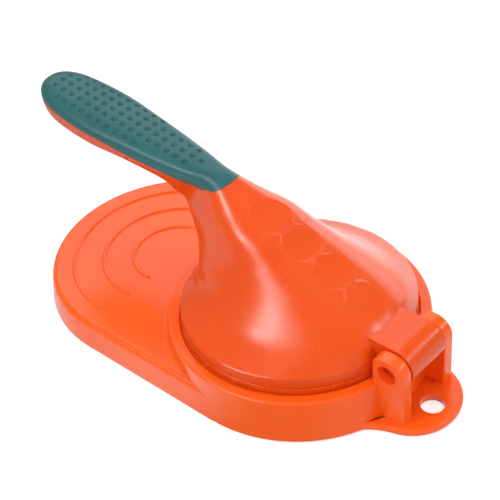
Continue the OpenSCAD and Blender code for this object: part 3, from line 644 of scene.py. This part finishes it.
class PRESS_OT_base(bpy.types.Operator):
    """Builds the moulded base: tray, ring, well, ridges, hinge ears, tab and underside."""
    bl_idname = "press.base"
    bl_label = "Base"

    def execute(self, context):
        above, below = 40, -5        # past the top and the underside of what is cut
        well_bore = turned_piece("well_bore", drum(size("well_radius") + 1.3, below, above))
        half = block("half", (0, -80, below), (90, 80, above))
        base = combine(tray_body(), [well_bore, half], "DIFFERENCE")
        inside = size("ear_space") / 2
        outside, tray = inside + size("ear_thickness"), size("tray_height")
        ear = ear_outline(HINGE_X - EAR_BACK, HINGE_X + EAR_FRONT, 1.0, HINGE_Z + EAR_TOP,
                          EAR_FRONT_R, EAR_BACK_R)
        parts = [ring_body()]
        for name, y0, y1 in (("ear_near", -outside, -inside), ("ear_far", inside, outside)):
            plate = eye_plate(ear, AXIS, PIN_R + PIN_PLAY, y0, y1, 0.7, 0.25)
            parts.append(piece(name, upright(plate), True))
        tab = eye_plate(tab_outline(), (HINGE_X + HANG_X, 0), size("hang_radius"), 0,
                        size("tab_height"), size("tab_edge"), 0.35)
        parts += [piece("tab", tab, True), *underside_ribs()]
        relief = upright(turned(drum(LUG_R + 0.65, -inside, inside), 96))
        cuts = [piece("relief", relief + [HINGE_X, 0, HINGE_Z])]
        for name, centre in foot_places():
            # the boss ends inside the floor above it: the tray's, or the well's
            top = tray - 1.5 if centre[0] < -20 else size("ring_height") - 10.2
            boss = FOOT_R + BOSS_WALL
            parts.append(turned_piece("boss_" + name, [
                [0, 0.3], [boss - 0.3, 0.3], [boss, 0.6], [boss, top], [0, top]], 48, centre))
            cuts.append(turned_piece("seat_" + name, drum(FOOT_R + 0.1, -2, SEAT_DEPTH), 48,
                                     centre))
        combine(base, parts, "UNION")
        combine(base, cuts, "DIFFERENCE")
        base.name = "moulded_base"
        dress(base, "base", "root", "base", 25)
        return {"FINISHED"}


# ---------- the lid ----------

TIP_LENGTH = 14.7  # length of the handle's round tip
TIP_FULLNESS = 2.61  # fullness of the round tip, 2 for an ellipse
HANDLE_FULLNESS = 2.32  # fullness of the handle's cross-section, 2 for an ellipse
SECTION_PITCH = 17.8  # spacing of the handle's upright control sections
NECK = 6  # the control section where the neck is narrowest
LAST = 13  # the control section at the rim
GRIP_END = -29.5  # where the grip ends on the top line
GRIP_END_Z = 69.8  # height of the top line there
CREST_SLOPE = 0.133  # fall of the top line for each millimetre towards the hinge
BELL, DEPTH = 33.9, 16.7  # height of the bell and depth of the handle
HALF, NECK_HALF = 14.0, 6.9  # half widths of the handle and of the neck
NECK_RUN = 32.1  # length of the neck along the top line
TIP_DRAW = 0.9  # share of an inset by which the tip is drawn in
SAG = 1.8  # how far the bell's wall sags under the handle
TOP_COLUMNS = 151  # columns over the top of the lid


def crest(x):
    """Height of the handle's straight top line."""
    return GRIP_END_Z - CREST_SLOPE * (x - GRIP_END)


def control_sections():
    """Sections of the lid from the tip to the rim: the top point's x and z, the bottom point's x
    and z, the half width, and how far down the widest line lies. The handle's stand upright and
    the bell's fan round to lie flat. Heights are shares of the handle's depth or of the bell's
    height, and the bell's places are shares of the rim's radius."""
    r, rim = LID_R, size("ring_height") + size("rim_height")
    handle = ((1.056, 0.664, 0.35), (1.088, 0.929, 0.34), (1.012, 1, 0.35), (0.912, 0.886, 0.36),
              (0.932, 0.743, 0.33))
    bend = ((0.576, 0, -1.246, 0.835, 1.275, 0.27), (0.14, 0, -1.178, 0.708, 1, 0.24),
            (-0.296, 0.11, -1.108, 0.587, 1.71, 0.29))
    fan = ((-0.127, 1, -1.042, 0.472, 0.347, 0.3), (0.169, 0.785, -0.987, 0.363, 0.443, 0.4),
           (0.466, 0.614, -0.953, 0.263, 0.536, 0.5), (0.73, 0.43, -0.945, 0.165, 0.636, 0.5),
           (0.94, 0.22, -0.962, 0.08, 0.776, 0.5), (1, 0, -1, 0, 1, 0.5))
    rows = []
    for k, (tall, wide, widest) in enumerate(handle):
        x = TIP_X + k * SECTION_PITCH
        rows.append([x, crest(x), x, crest(x) - tall * DEPTH, wide * HALF, widest])
    for back, drop, low_x, low_z, wide, widest in bend:
        x = GRIP_END - back * NECK_RUN
        rows.append([x, crest(x) - drop * BELL, low_x * r, rim + low_z * BELL, wide * NECK_HALF,
                     widest])
    rows += list(np.array(fan) * [r, BELL, r, BELL, r, 1] + [0, rim, 0, rim, 0, 0])
    return np.array(rows, float)


def through(rows, u):
    """Catmull-Rom curve through rows at place u, counted in rows; its ends run on straight."""
    n = len(rows)
    u = np.asarray(u, float)
    i = np.clip(np.floor(u).astype(int), 0, n - 2)
    t = (u - i)[..., None]
    b, c = rows[i], rows[i + 1]
    a = np.where((i == 0)[..., None], 2 * b - c, rows[np.maximum(i - 1, 0)])
    d = np.where((i == n - 2)[..., None], 2 * c - b, rows[np.minimum(i + 2, n - 1)])
    return 0.5 * (2 * b + (c - a) * t + (2 * a - 5 * b + 4 * c - d) * t ** 2
                  + (3 * b - a - 3 * c + d) * t ** 3)


def tip_share(x, inset=0.0):
    """What is left of a section at x: a quarter of a superellipse along the round tip, then 1."""
    q = np.clip((x - TIP_X - inset * TIP_DRAW) / TIP_LENGTH, 0, 1)
    return (1 - (1 - q) ** TIP_FULLNESS) ** (1 / TIP_FULLNESS)


def lid_surface(u, theta, inset=0.0):
    """Outer surface of handle and bell. The section at u is a superellipse: from its middle it
    reaches |sin(theta)|^(2/n) of the way to the top or bottom point and |cos(theta)|^(2/n) of the
    half width to the side. The tip shrinks every section by its share. An inset draws top, sides
    and bottom inwards. Under the handle the bell's wall sags a little towards the rim."""
    u, theta, inset = np.broadcast_arrays(np.asarray(u, float), theta, inset)
    u = np.maximum(u, TIP_DRAW * inset / SECTION_PITCH)
    s = through(control_sections(), u)
    ease = np.clip((u - NECK + 1) / 2, 0, 1)
    power = 2 / ((1 - ease) * HANDLE_FULLNESS + ease * 2)
    left = tip_share(s[..., 0], inset)
    top, bottom = s[..., 0:2], s[..., 2:4]
    tall = np.linalg.norm(bottom - top, axis=-1)
    down = (bottom - top) / tall[..., None]
    middle = top + down * (tall * s[..., 5])[..., None]
    sine, cosine = np.sin(theta), np.cos(theta)
    reach = np.where(sine >= 0, tall * s[..., 5] - inset, -(tall * (1 - s[..., 5]) - inset))
    rise = -down * (reach * left * np.abs(sine) ** power)[..., None]
    half = np.maximum(s[..., 4] - inset, 0.5) * left
    y = half * np.sign(cosine) * np.abs(cosine) ** power
    sag = SAG * smoothstep(LAST - 2, LAST, u) * smoothstep(0.5, 1, np.maximum(-sine, 0))
    return np.stack([middle[..., 0] + rise[..., 0], y, middle[..., 1] + rise[..., 1] - sag], -1)


def outward(grid):
    """Unit normals of a grid of points, turned away from its middle line."""
    normal = unit(np.cross(np.gradient(grid, axis=0), np.gradient(grid, axis=1)), TINY)
    flip = np.sum(normal * (grid - grid.mean(1, keepdims=True)), -1, keepdims=True) < 0
    return np.where(flip, -normal, normal)


CORNER_U = 6.06  # the place u where the grip's end meets its lower edge
CORNER_RUN = 0.45  # length of the round corner there, in places u
GRIP_TOP_U = 6.32  # the place u where the grip ends on the crest
DIP = 0.12  # how far round below the widest line the grip reaches


def grip_border(theta, gap=0.0):
    """The place u where the grip ends for each angle: straight across the top, with a round
    corner at each side, where it ends earlier by high powers of the cosine."""
    c = np.abs(np.cos(theta))
    return GRIP_TOP_U - gap - (GRIP_TOP_U - CORNER_U) * (0.46 * c ** 6 + 0.54 * c ** 60)


def grip_dip(u):
    """How far round below the widest line the grip's lower edge lies, in radians. It comes up to
    the widest line in a quarter of an ellipse at the corner."""
    t = np.clip((np.asarray(u) - CORNER_U + CORNER_RUN) / CORNER_RUN, 0, 1)
    return DIP * smoothstep(2.2, 3.5, u) * np.sqrt(1 - t ** 2)


def cover_angle(u, extra=0.0):
    """How far round from the widest line the handle's cover begins, so that a band of the shell
    of even height shows above it."""
    s = through(control_sections(), u)
    depth = (s[..., 1] - s[..., 3]) * (1 - s[..., 5]) * tip_share(s[..., 0])
    share = np.clip((size("band_height") + extra) / np.maximum(depth, 1e-6), 0, 1)
    return np.maximum(np.arcsin(share ** (HANDLE_FULLNESS / 2)), grip_dip(u) + 0.05)


COVER_END = 3.15  # the place u where the handle's cover ends
COVER_GAP = 0.12  # gap between the cover's edge and the shell
RECESS = 2.0  # depth of the cover's recess in the shell
SCALLOPS = (7.73, 8.7, 9.78, 10.9)  # places u of the thumb dimples
BAND, UNDER = 8, 60  # columns of the shell's band on each side, and under the cover
FINE = 0.012  # half the width of the joint lines, in places u and in radians


def crowded(count, pull=0.45):
    """count numbers from -1 to 1, closer together near 0."""
    t = np.linspace(-1, 1, count)
    return pull * t + (1 - pull) * t ** 3


def scalloped(grid):
    """Sinks the round thumb dimples into the crest: shallow bowls of depth times
    1 - (distance / radius)^2, whose rim is rounded by the root of the depth squared plus a
    small square, and a low smooth step just inside the rim."""
    normal = outward(grid)
    radius, depth, lip = size("scallop_radius"), size("scallop_depth"), size("scallop_lip")
    for u in SCALLOPS:
        away = np.linalg.norm(grid - lid_surface(u, np.pi / 2), axis=-1)
        bowl = depth * (1 - (away / radius) ** 2)
        step = lip * (1 - smoothstep(radius - 1, radius, away))
        sink = (bowl + np.sqrt(bowl ** 2 + 0.03 ** 2)) / 2 + step
        grid = grid - normal * np.where(bowl > -depth, sink, 0)[..., None]
    return grid


def shell_rows(side):
    """Places u of the shell's rows: those of the handle, and then the bell's from the grip's end
    at side. They crowd at the tip, before the grip's end and under the dimples."""
    handle = join([
        0.85 * np.linspace(0, 1, 30) ** 1.7, np.linspace(0.85, COVER_END - FINE, 28)[1:],
        [COVER_END + FINE],
        side - (side - COVER_END - 0.1) * np.linspace(1, 0, 66)[:-1] ** 1.8])
    bell = join([np.linspace(side, 7, 20)[1:], np.linspace(7, 11.5, 230)[1:],
                           np.linspace(11.5, LAST, 34)[1:]])
    return handle, bell


SKIRT = 2.4  # thickness of the bell's skirt


def rim_rows(rim):
    """Rows that follow the rim: a small crease, the upright skirt and a flat underside."""
    way, z = unit(rim[:, :2]), rim[:, 2:]
    seam = size("ring_height") + size("seam_height") + 0.3
    rows = ((LID_R - 0.12, z), (LID_R, z - 0.12), (LID_R, (z + seam) / 2), (LID_R, seam + 0.3),
            (LID_R - 0.1, seam + 0.08), (LID_R - 0.3, seam), (LID_R - SKIRT, seam),
            (LID_R - SKIRT, seam + 2), (0.0, seam + 2))
    return np.stack([join([way * radius, height + 0 * z], 1) for radius, height in rows])


class PRESS_OT_lid_shell(bpy.types.Operator):
    """Builds the bell and handle shell, with its recesses for the grip and the handle's cover."""
    bl_idname = "press.lid_shell"
    bl_label = "Lid shell"

    def execute(self, context):
        over = np.pi / 2 * (1 + crowded(TOP_COLUMNS))
        border = grip_border(over)
        side = float(border[0])
        handle, bell = shell_rows(side)
        u = join([handle, [side, side], bell])[:, None]
        in_handle = np.arange(len(u))[:, None] <= len(handle)
        dip = grip_dip(u)
        # upper half: rows bend so that one of them follows the grip's end
        upper_u = np.where(in_handle, u * border / side,
                           border + (LAST - border) * (u - side) / (LAST - side))
        upper = lid_surface(upper_u, -dip + (np.pi + 2 * dip) * over / np.pi,
                            np.where(in_handle, size("grip_thickness"), 0.0))
        # lower half: columns bend so that two of them follow the cover's edge
        angle = cover_angle(u)
        band = dip + np.linspace(0, 1, BAND) * (angle - FINE - dip)
        under = np.linspace(0, 1, UNDER) * (np.pi - 2 * angle) + angle
        lower_angle = np.pi + join([band, under, np.pi - band[:, ::-1]], 1)
        covered = np.repeat([False, True, False], [BAND, UNDER, BAND])
        covered = covered & (angle < 1.5) & (u <= COVER_END)
        lower = lid_surface(u, lower_angle, np.where(covered, RECESS, 0.0))
        grid = scalloped(join([upper, lower], 1))
        shell = piece("bell_and_handle", join([grid[:-1], rim_rows(grid[-1])]))
        dress(shell, "lid", "lid", "lid_shell")
        return {"FINISHED"}


def patch(outer, inner, edge):
    """A closed skin between an outer and an inner grid that share their rows and columns, and
    whose first rows are single points. The outer grid's border is drawn edge deep towards the
    inner one, which breaks the corner."""
    deep = edge / np.maximum(np.linalg.norm(inner - outer, axis=-1, keepdims=True), edge)
    border = outer + (inner - outer) * deep
    rows = join([outer, border[-1:]])
    sides = join([border, border[-1:]])
    back = join([inner, inner[-1:]])
    loop = join([sides[:, :1], rows, sides[:, -1:], back[:, ::-1]], 1)
    end = (border[-1:] + inner[-1:]) / 2
    end = join([end[:, :1], end, end[:, -1:], end[:, ::-1]], 1)
    return join([loop, end])


def grip_dots():
    """Middles of the grip's small dimples: a row on the crest, and shorter rows beside it."""
    pitch, row = size("dot_pitch"), size("dot_row")
    first, spans = TIP_X + 10.1, {0: (0, 17), 1: (0, 16), 2: (1, 11)}
    places_u = np.linspace(0.05, 6.2, 600)
    line = lid_surface(places_u, np.pi / 2)
    middles = []
    for k in range(-2, 3):
        for n in range(*spans[abs(k)]):
            u = np.interp(first + n * pitch, line[:, 0], places_u)
            share = np.clip(k * row / through(control_sections(), u)[4], -1, 1)
            theta = math.acos(share * abs(share) ** (HANDLE_FULLNESS / 2 - 1))
            middles.append(lid_surface(u, theta))
    return np.array(middles)


GRIP_ROWS, GRIP_COLUMNS = 330, 111
GRIP_TIP = 0.15  # share of the grip's rows that crowd towards the tip


class PRESS_OT_grip(bpy.types.Operator):
    """Builds the soft grip, with its rows of small round dimples."""
    bl_idname = "press.grip"
    bl_label = "Grip"

    def execute(self, context):
        across, along = np.linspace(0, 1, GRIP_COLUMNS), np.linspace(0, 1, GRIP_ROWS)[:, None]
        share = np.where(along < GRIP_TIP, GRIP_TIP * (along / GRIP_TIP) ** 1.5, along)
        u = share * grip_border(np.pi * across, 0.008)
        dip = grip_dip(u) - 0.02
        theta = -dip + (np.pi + 2 * dip) * across
        outer = lid_surface(u, theta)
        normal = outward(outer)
        radius, depth = size("dot_radius"), size("dot_depth")
        sink = np.zeros(outer.shape[:2])
        for middle in grip_dots():
            away = np.linalg.norm(outer - middle, axis=-1)
            sink = np.maximum(sink, depth * np.sqrt(np.maximum(1 - (away / radius) ** 2, 0)))
        outer = outer - normal * sink[..., None]
        inner = lid_surface(u, theta, size("grip_thickness"))
        grip = piece("soft_grip", patch(outer, inner, 0.35))
        dress(grip, "grip", "lid", "grip", 50)
        return {"FINISHED"}


COVER_ROWS, COVER_COLUMNS = 90, 70
HEAD_R = 3.1  # radius of the sunk holes for the cover's screws


class PRESS_OT_handle_cover(bpy.types.Operator):
    """Builds the cover that closes the handle from below, with its two sunk screw holes."""
    bl_idname = "press.handle_cover"
    bl_label = "Handle cover"

    def execute(self, context):
        reach = np.linspace(0, 1, 2001)
        start = reach[cover_angle(reach, COVER_GAP) > np.pi / 2 - 1e-6].max()
        along = np.linspace(0, 1, COVER_ROWS)[:, None]
        rows = start + along ** 1.4 * (COVER_END - 2 * FINE - start)
        angle = cover_angle(rows, COVER_GAP)
        theta = np.pi + angle + np.linspace(0, 1, COVER_COLUMNS) * (np.pi - 2 * angle)
        outer, inner = lid_surface(rows, theta), lid_surface(rows, theta, RECESS - 0.1)
        cover = piece("handle_cover_moulding", patch(outer, inner, 0.2))
        screws = frame["nodes"]["cover_screws"].data.vertices
        x, _, z = (np.array([v.co for v in screws]) * MM - ORIGIN).T
        holes = []
        for one in (x < x.mean(), x >= x.mean()):
            centre, head = ((x[one].min() + x[one].max()) / 2, 0), z[one].min()
            holes.append(turned_piece("hole", drum(HEAD_R, head - 8, head + 2), 48, centre))
        combine(cover, holes, "DIFFERENCE")
        dress(cover, "lid", "lid", "handle_cover")
        return {"FINISHED"}


LUG_PLAY = 0.35  # gap between the lug and an ear
LUG_CUT = -34  # angle at which the lug's round front starts, in degrees


class PRESS_OT_press_plate(bpy.types.Operator):
    """Builds the plate under the bell with the lug that turns on the pin."""
    bl_idname = "press.press_plate"
    bl_label = "Press plate"

    def execute(self, context):
        ring, half = size("ring_height"), size("ear_space") / 2 - LUG_PLAY
        low, high = ring - 0.8, ring + size("seam_height")
        plate = turned_piece("plate", [
            [0, low], [LID_R - 0.4, low], *arc((LID_R - 0.4, low + 0.4), 0.4, -90, 0, 3),
            *arc((LID_R - 0.5, high - 0.5), 0.5, 0, 90, 4), [0, high]], 288)
        back = LID_R - 12                # the lug starts inside the bell
        front, floor = arc(AXIS, LUG_R, LUG_CUT, LUG_CUT, 0)[0]
        outline = closed_path(
            [[back, ring + 0.4], [LID_R + 1.5, ring + 0.4], [HINGE_X - 2, floor - 1.6],
             [front - 0.3, floor - 0.2]],
            arc(AXIS, LUG_R, LUG_CUT, 90, 40), [[back, HINGE_Z + LUG_R]])
        lug = eye_plate(outline, AXIS, PIN_R + PIN_PLAY, -half, half, 0.3, 0.2)
        combine(plate, [piece("lug", upright(lug), True)], "UNION")
        plate.name = "plate_and_lug"
        dress(plate, "lid", "lid", "press_plate")
        return {"FINISHED"}


PIN_SUNK = 0.6  # how far each end of the pin is drawn in from its solid


class PRESS_OT_hardware(bpy.types.Operator):
    """Builds the pressing disc, the hinge pin and the feet, and finishes the screws."""
    bl_idname = "press.hardware"
    bl_label = "Disc, pin, feet and screws"

    def execute(self, context):
        low, high = DISC_LOW[2] - ORIGIN[2], DISC_HIGH[2] - ORIGIN[2]
        face = DISC_TOP_R - 1.5
        disc = turned_piece("pressing_disc", [
            [0, low + 0.6], [face - 9, low + 0.6], [face - 8, low + 0.1], [face - 7, low],
            *arc((face - 1.2, low + 1.2), 1.2, -90, 10, 8),
            *arc((DISC_TOP_R - 0.4, high - 0.4), 0.4, 10, 90, 3),
            [DISC_TOP_R - 2.2, high], [DISC_TOP_R - 3, low + 2.4], [0, low + 2.4]], 288)
        dress(disc, "base", "lid", "press_disc")
        reach, edge = PIN_HALF - PIN_SUNK, 0.6
        pin = turned([[0, -reach], *arc((PIN_R - edge, -reach + edge), edge, -90, 0, 4),
                      *arc((PIN_R - edge, reach - edge), edge, 0, 90, 4), [0, reach]], 64)
        pin = piece("hinge_pin_turned", upright(pin) + [HINGE_X, 0, HINGE_Z])
        dress(pin, "pin", "root", "hinge_pin")
        bottom, top, edge = FOOT_LOW[2] - ORIGIN[2], FOOT_HIGH[2] - ORIGIN[2], 0.5
        for name, centre in foot_places():
            foot = turned_piece(name + "_rubber", [
                [0, bottom + 0.2], [FOOT_R - 2.4, bottom + 0.2], [FOOT_R - 2, bottom],
                *arc((FOOT_R - edge, bottom + edge), edge, -90, 0, 4), [FOOT_R, top], [0, top]],
                64, centre)
            dress(foot, "foot", "root", name)
        for node in ("plate_screws", "cover_screws"):
            for slot in frame["nodes"][node].material_slots:
                slot.material = finish("steel")
        return {"FINISHED"}


# ---------- the studio ----------

# how brightly the floor glows for glossy rays only, by share of a turn about the press that starts
# at -X and passes the front: a painted reflection of lit paper all round and a dark room behind
# the camera
PAINTED_REFLECTION = ((0.0, 0.5), (0.1, 1.0), (0.2, 1.7), (0.28, 1.6), (0.34, 0.3), (0.4, 0.3), (0.44, 0.8),
            (0.56, 1.1), (0.72, 2.1), (0.85, 1.4), (1.0, 0.5))
FLOOR_REACH = 1500  # half the width of the floor, in millimetres
PAPER, PAPER_GLOW = 0.9, 1.9  # the floor's grey, and its glow where it is seen
GLOW_SHARE = 0.35  # how much of the floor is glow
SKY_LIGHT, SKY_SEEN = 0.34, 0.7  # the sky as light, and what the camera sees beyond that
# name, direction from the press, distance, width and height in metres, watts, and whether the
# press mirrors the lamp; one that it doesn't only lights, as through a polarising sheet
LAMPS = (
    ("key", (-0.31, -0.63, 0.71), 1.2, 0.3, 0.22, 3.6, True),
    ("streak", (-0.06, -0.7, 0.71), 1.2, 0.36, 0.36, 2.4, True),
    ("back", (-0.55, 0.47, 0.68), 1.3, 1.2, 0.8, 4, True),
    ("top", (0.1, 0.1, 1.0), 1.3, 0.8, 0.8, 4.8, False),
    ("rim", (-0.1, 0.96, 0.22), 1.2, 1.1, 0.35, 2.9, True),
    ("right", (0.8, -0.5, 0.3), 1.3, 0.8, 0.6, 4.2, False),
    ("side", (0.72, 0.33, 0.61), 1.2, 0.2, 0.2, 1.8, True),
    ("low side", (0.59, 0.59, 0.5), 1.2, 0.26, 0.2, 0.9, True),
)
# solved view of the press, about the well's centre, and its focal length
CAMERA_AT = np.array([247.7, -279.4, 368.6])
CAMERA_RIGHT = np.array([0.7589, 0.6467, -0.0770])
CAMERA_UP = np.array([-0.3771, 0.5331, 0.7574])
PHOTO_PIXELS, FOCAL_PIXELS = 500, 1278.07
SENSOR = 36  # width of the camera's sensor, in millimetres


def white_floor():
    """Plain white floor: it takes the press's shadow, and glows a little for what sees it
    straight, so that it reads as white. For glossy rays it glows instead, brighter or darker by
    direction round the press: a painted reflection of lit paper that ends in a dark room in front."""
    material = bpy.data.materials.new("white_floor")
    tree = empty_tree(material)
    rays = add_node(tree, "ShaderNodeLightPath")
    seen = add_node(tree, "ShaderNodeMath", {
        0: (rays, "Is Camera Ray"), 1: (rays, "Is Transmission Ray")}, operation="MAXIMUM")
    bright = add_node(tree, "ShaderNodeMath", {0: (seen, "Value"), 1: PAPER_GLOW},
                      operation="MULTIPLY")
    paint = add_node(tree, "ShaderNodeBsdfDiffuse", {"Color": (PAPER, PAPER, PAPER, 1)})
    glow = add_node(tree, "ShaderNodeEmission", {"Strength": (bright, "Value")})
    lit = add_node(tree, "ShaderNodeMixShader", {
        0: GLOW_SHARE, 1: (paint, "BSDF"), 2: (glow, "Emission")})
    where = add_node(tree, "ShaderNodeTexCoord")
    turn = add_node(tree, "ShaderNodeTexGradient", {"Vector": (where, "Object")},
                    gradient_type="RADIAL")
    ramp = add_node(tree, "ShaderNodeValToRGB", {"Fac": (turn, "Fac")})
    stops, most = ramp.color_ramp.elements, max(level for _, level in PAINTED_REFLECTION)
    for share, _ in PAINTED_REFLECTION[1:-1]:
        stops.new(share)
    for stop, (_, level) in zip(stops, PAINTED_REFLECTION):
        stop.color = (level / most, level / most, level / most, 1)
    # painted reflection: glossy rays see this glow, whose strength follows the ramp by direction,
    # not lit paper
    mirrored = add_node(tree, "ShaderNodeEmission", {"Color": (ramp, "Color"), "Strength": most})
    out = add_node(tree, "ShaderNodeMixShader", {
        0: (rays, "Is Glossy Ray"), 1: (lit, "Shader"), 2: (mirrored, "Emission")})
    add_node(tree, "ShaderNodeOutputMaterial", {"Surface": (out, "Shader")})
    return material


def stand(name, data, right, up, back, at):
    """Puts a camera or a lamp in the scene, with its three axes and its place in metres."""
    made, turn = add_object(name, data), np.eye(4)
    turn[:3] = np.stack([right, up, back, at], 1)
    made.matrix_world = Matrix(turn.tolist())
    return made


def make_camera():
    """A camera at the solved place, whose lens gives the solved focal length in pixels."""
    right = unit(CAMERA_RIGHT)
    back = unit(np.cross(right, CAMERA_UP))
    data = bpy.data.cameras.new("camera")
    data.sensor_width, data.lens = SENSOR, SENSOR * FOCAL_PIXELS / PHOTO_PIXELS
    data.clip_start, data.clip_end = 0.01, 10
    bpy.context.scene.camera = stand("camera", data, right, np.cross(back, right), back,
                                     place(CAMERA_AT))


def soft_box(name, direction, distance, width, height, watts, mirrored):
    """A rectangular lamp that looks at the press from a direction."""
    direction = unit(np.array(direction, float))
    data = bpy.data.lights.new(name, "AREA")
    data.shape, data.size, data.size_y, data.energy = "RECTANGLE", width, height, watts
    side = unit(np.cross([0, 0, 1], direction))
    lamp = stand(name, data, side, np.cross(direction, side), direction, direction * distance)
    lamp.visible_glossy = mirrored


def white_sky(tree):
    """An even white sky, which the camera sees brighter than it lights the press."""
    rays = add_node(tree, "ShaderNodeLightPath")
    bright = add_node(tree, "ShaderNodeMath", {
        0: (rays, "Is Camera Ray"), 1: SKY_SEEN, 2: SKY_LIGHT}, operation="MULTIPLY_ADD")
    sky = add_node(tree, "ShaderNodeBackground", {
        "Color": (1, 1, 1, 1), "Strength": (bright, "Value")})
    add_node(tree, "ShaderNodeOutputWorld", {"Surface": (sky, "Background")})


class PRESS_OT_stage(bpy.types.Operator):
    """Builds the floor, the lights, the sky and the camera."""
    bl_idname = "press.stage"
    bl_label = "Studio"

    def execute(self, context):
        scene = context.scene
        scene.view_settings.view_transform = "Standard"
        reach = [-FLOOR_REACH, FLOOR_REACH]
        x, y = np.meshgrid(reach, reach, indexing="ij")
        floor = piece("floor", np.stack([x, y, 0 * x - ORIGIN[2]], -1), False, False)
        floor.data.materials.append(white_floor())
        scene.world = bpy.data.worlds.new("studio")
        white_sky(empty_tree(scene.world))
        for lamp in LAMPS:
            soft_box(*lamp)
        make_camera()
        return {"FINISHED"}


class PRESS_PT_panel(bpy.types.Panel):
    """Lists the pieces, the sizes and the colours in the sidebar."""
    bl_idname = "PRESS_PT_panel"
    bl_label = "Empanada press"
    bl_space_type = "VIEW_3D"
    bl_region_type = "UI"
    bl_category = "Press"

    def draw(self, context):
        for operator in OPERATORS:
            self.layout.operator(operator.bl_idname)
        for group in (context.scene.press_sizes, context.scene.press_colours):
            for name in group.__annotations__:
                self.layout.prop(group, name)


OPERATORS = (PRESS_OT_base, PRESS_OT_lid_shell, PRESS_OT_grip, PRESS_OT_handle_cover,
             PRESS_OT_press_plate, PRESS_OT_hardware, PRESS_OT_stage)
CLASSES = (PressSizes, PressColours, *OPERATORS, PRESS_PT_panel)


def register():
    for cls in CLASSES:
        bpy.utils.register_class(cls)
    bpy.types.Scene.press_sizes = bpy.props.PointerProperty(type=PressSizes)
    bpy.types.Scene.press_colours = bpy.props.PointerProperty(type=PressColours)


def unregister():
    del bpy.types.Scene.press_colours
    del bpy.types.Scene.press_sizes
    for cls in reversed(CLASSES):
        bpy.utils.unregister_class(cls)


def main():
    register()
    for operator in OPERATORS:
        group, name = operator.bl_idname.split(".")
        getattr(getattr(bpy.ops, group), name)()


if __name__ == "__main__":
    main()
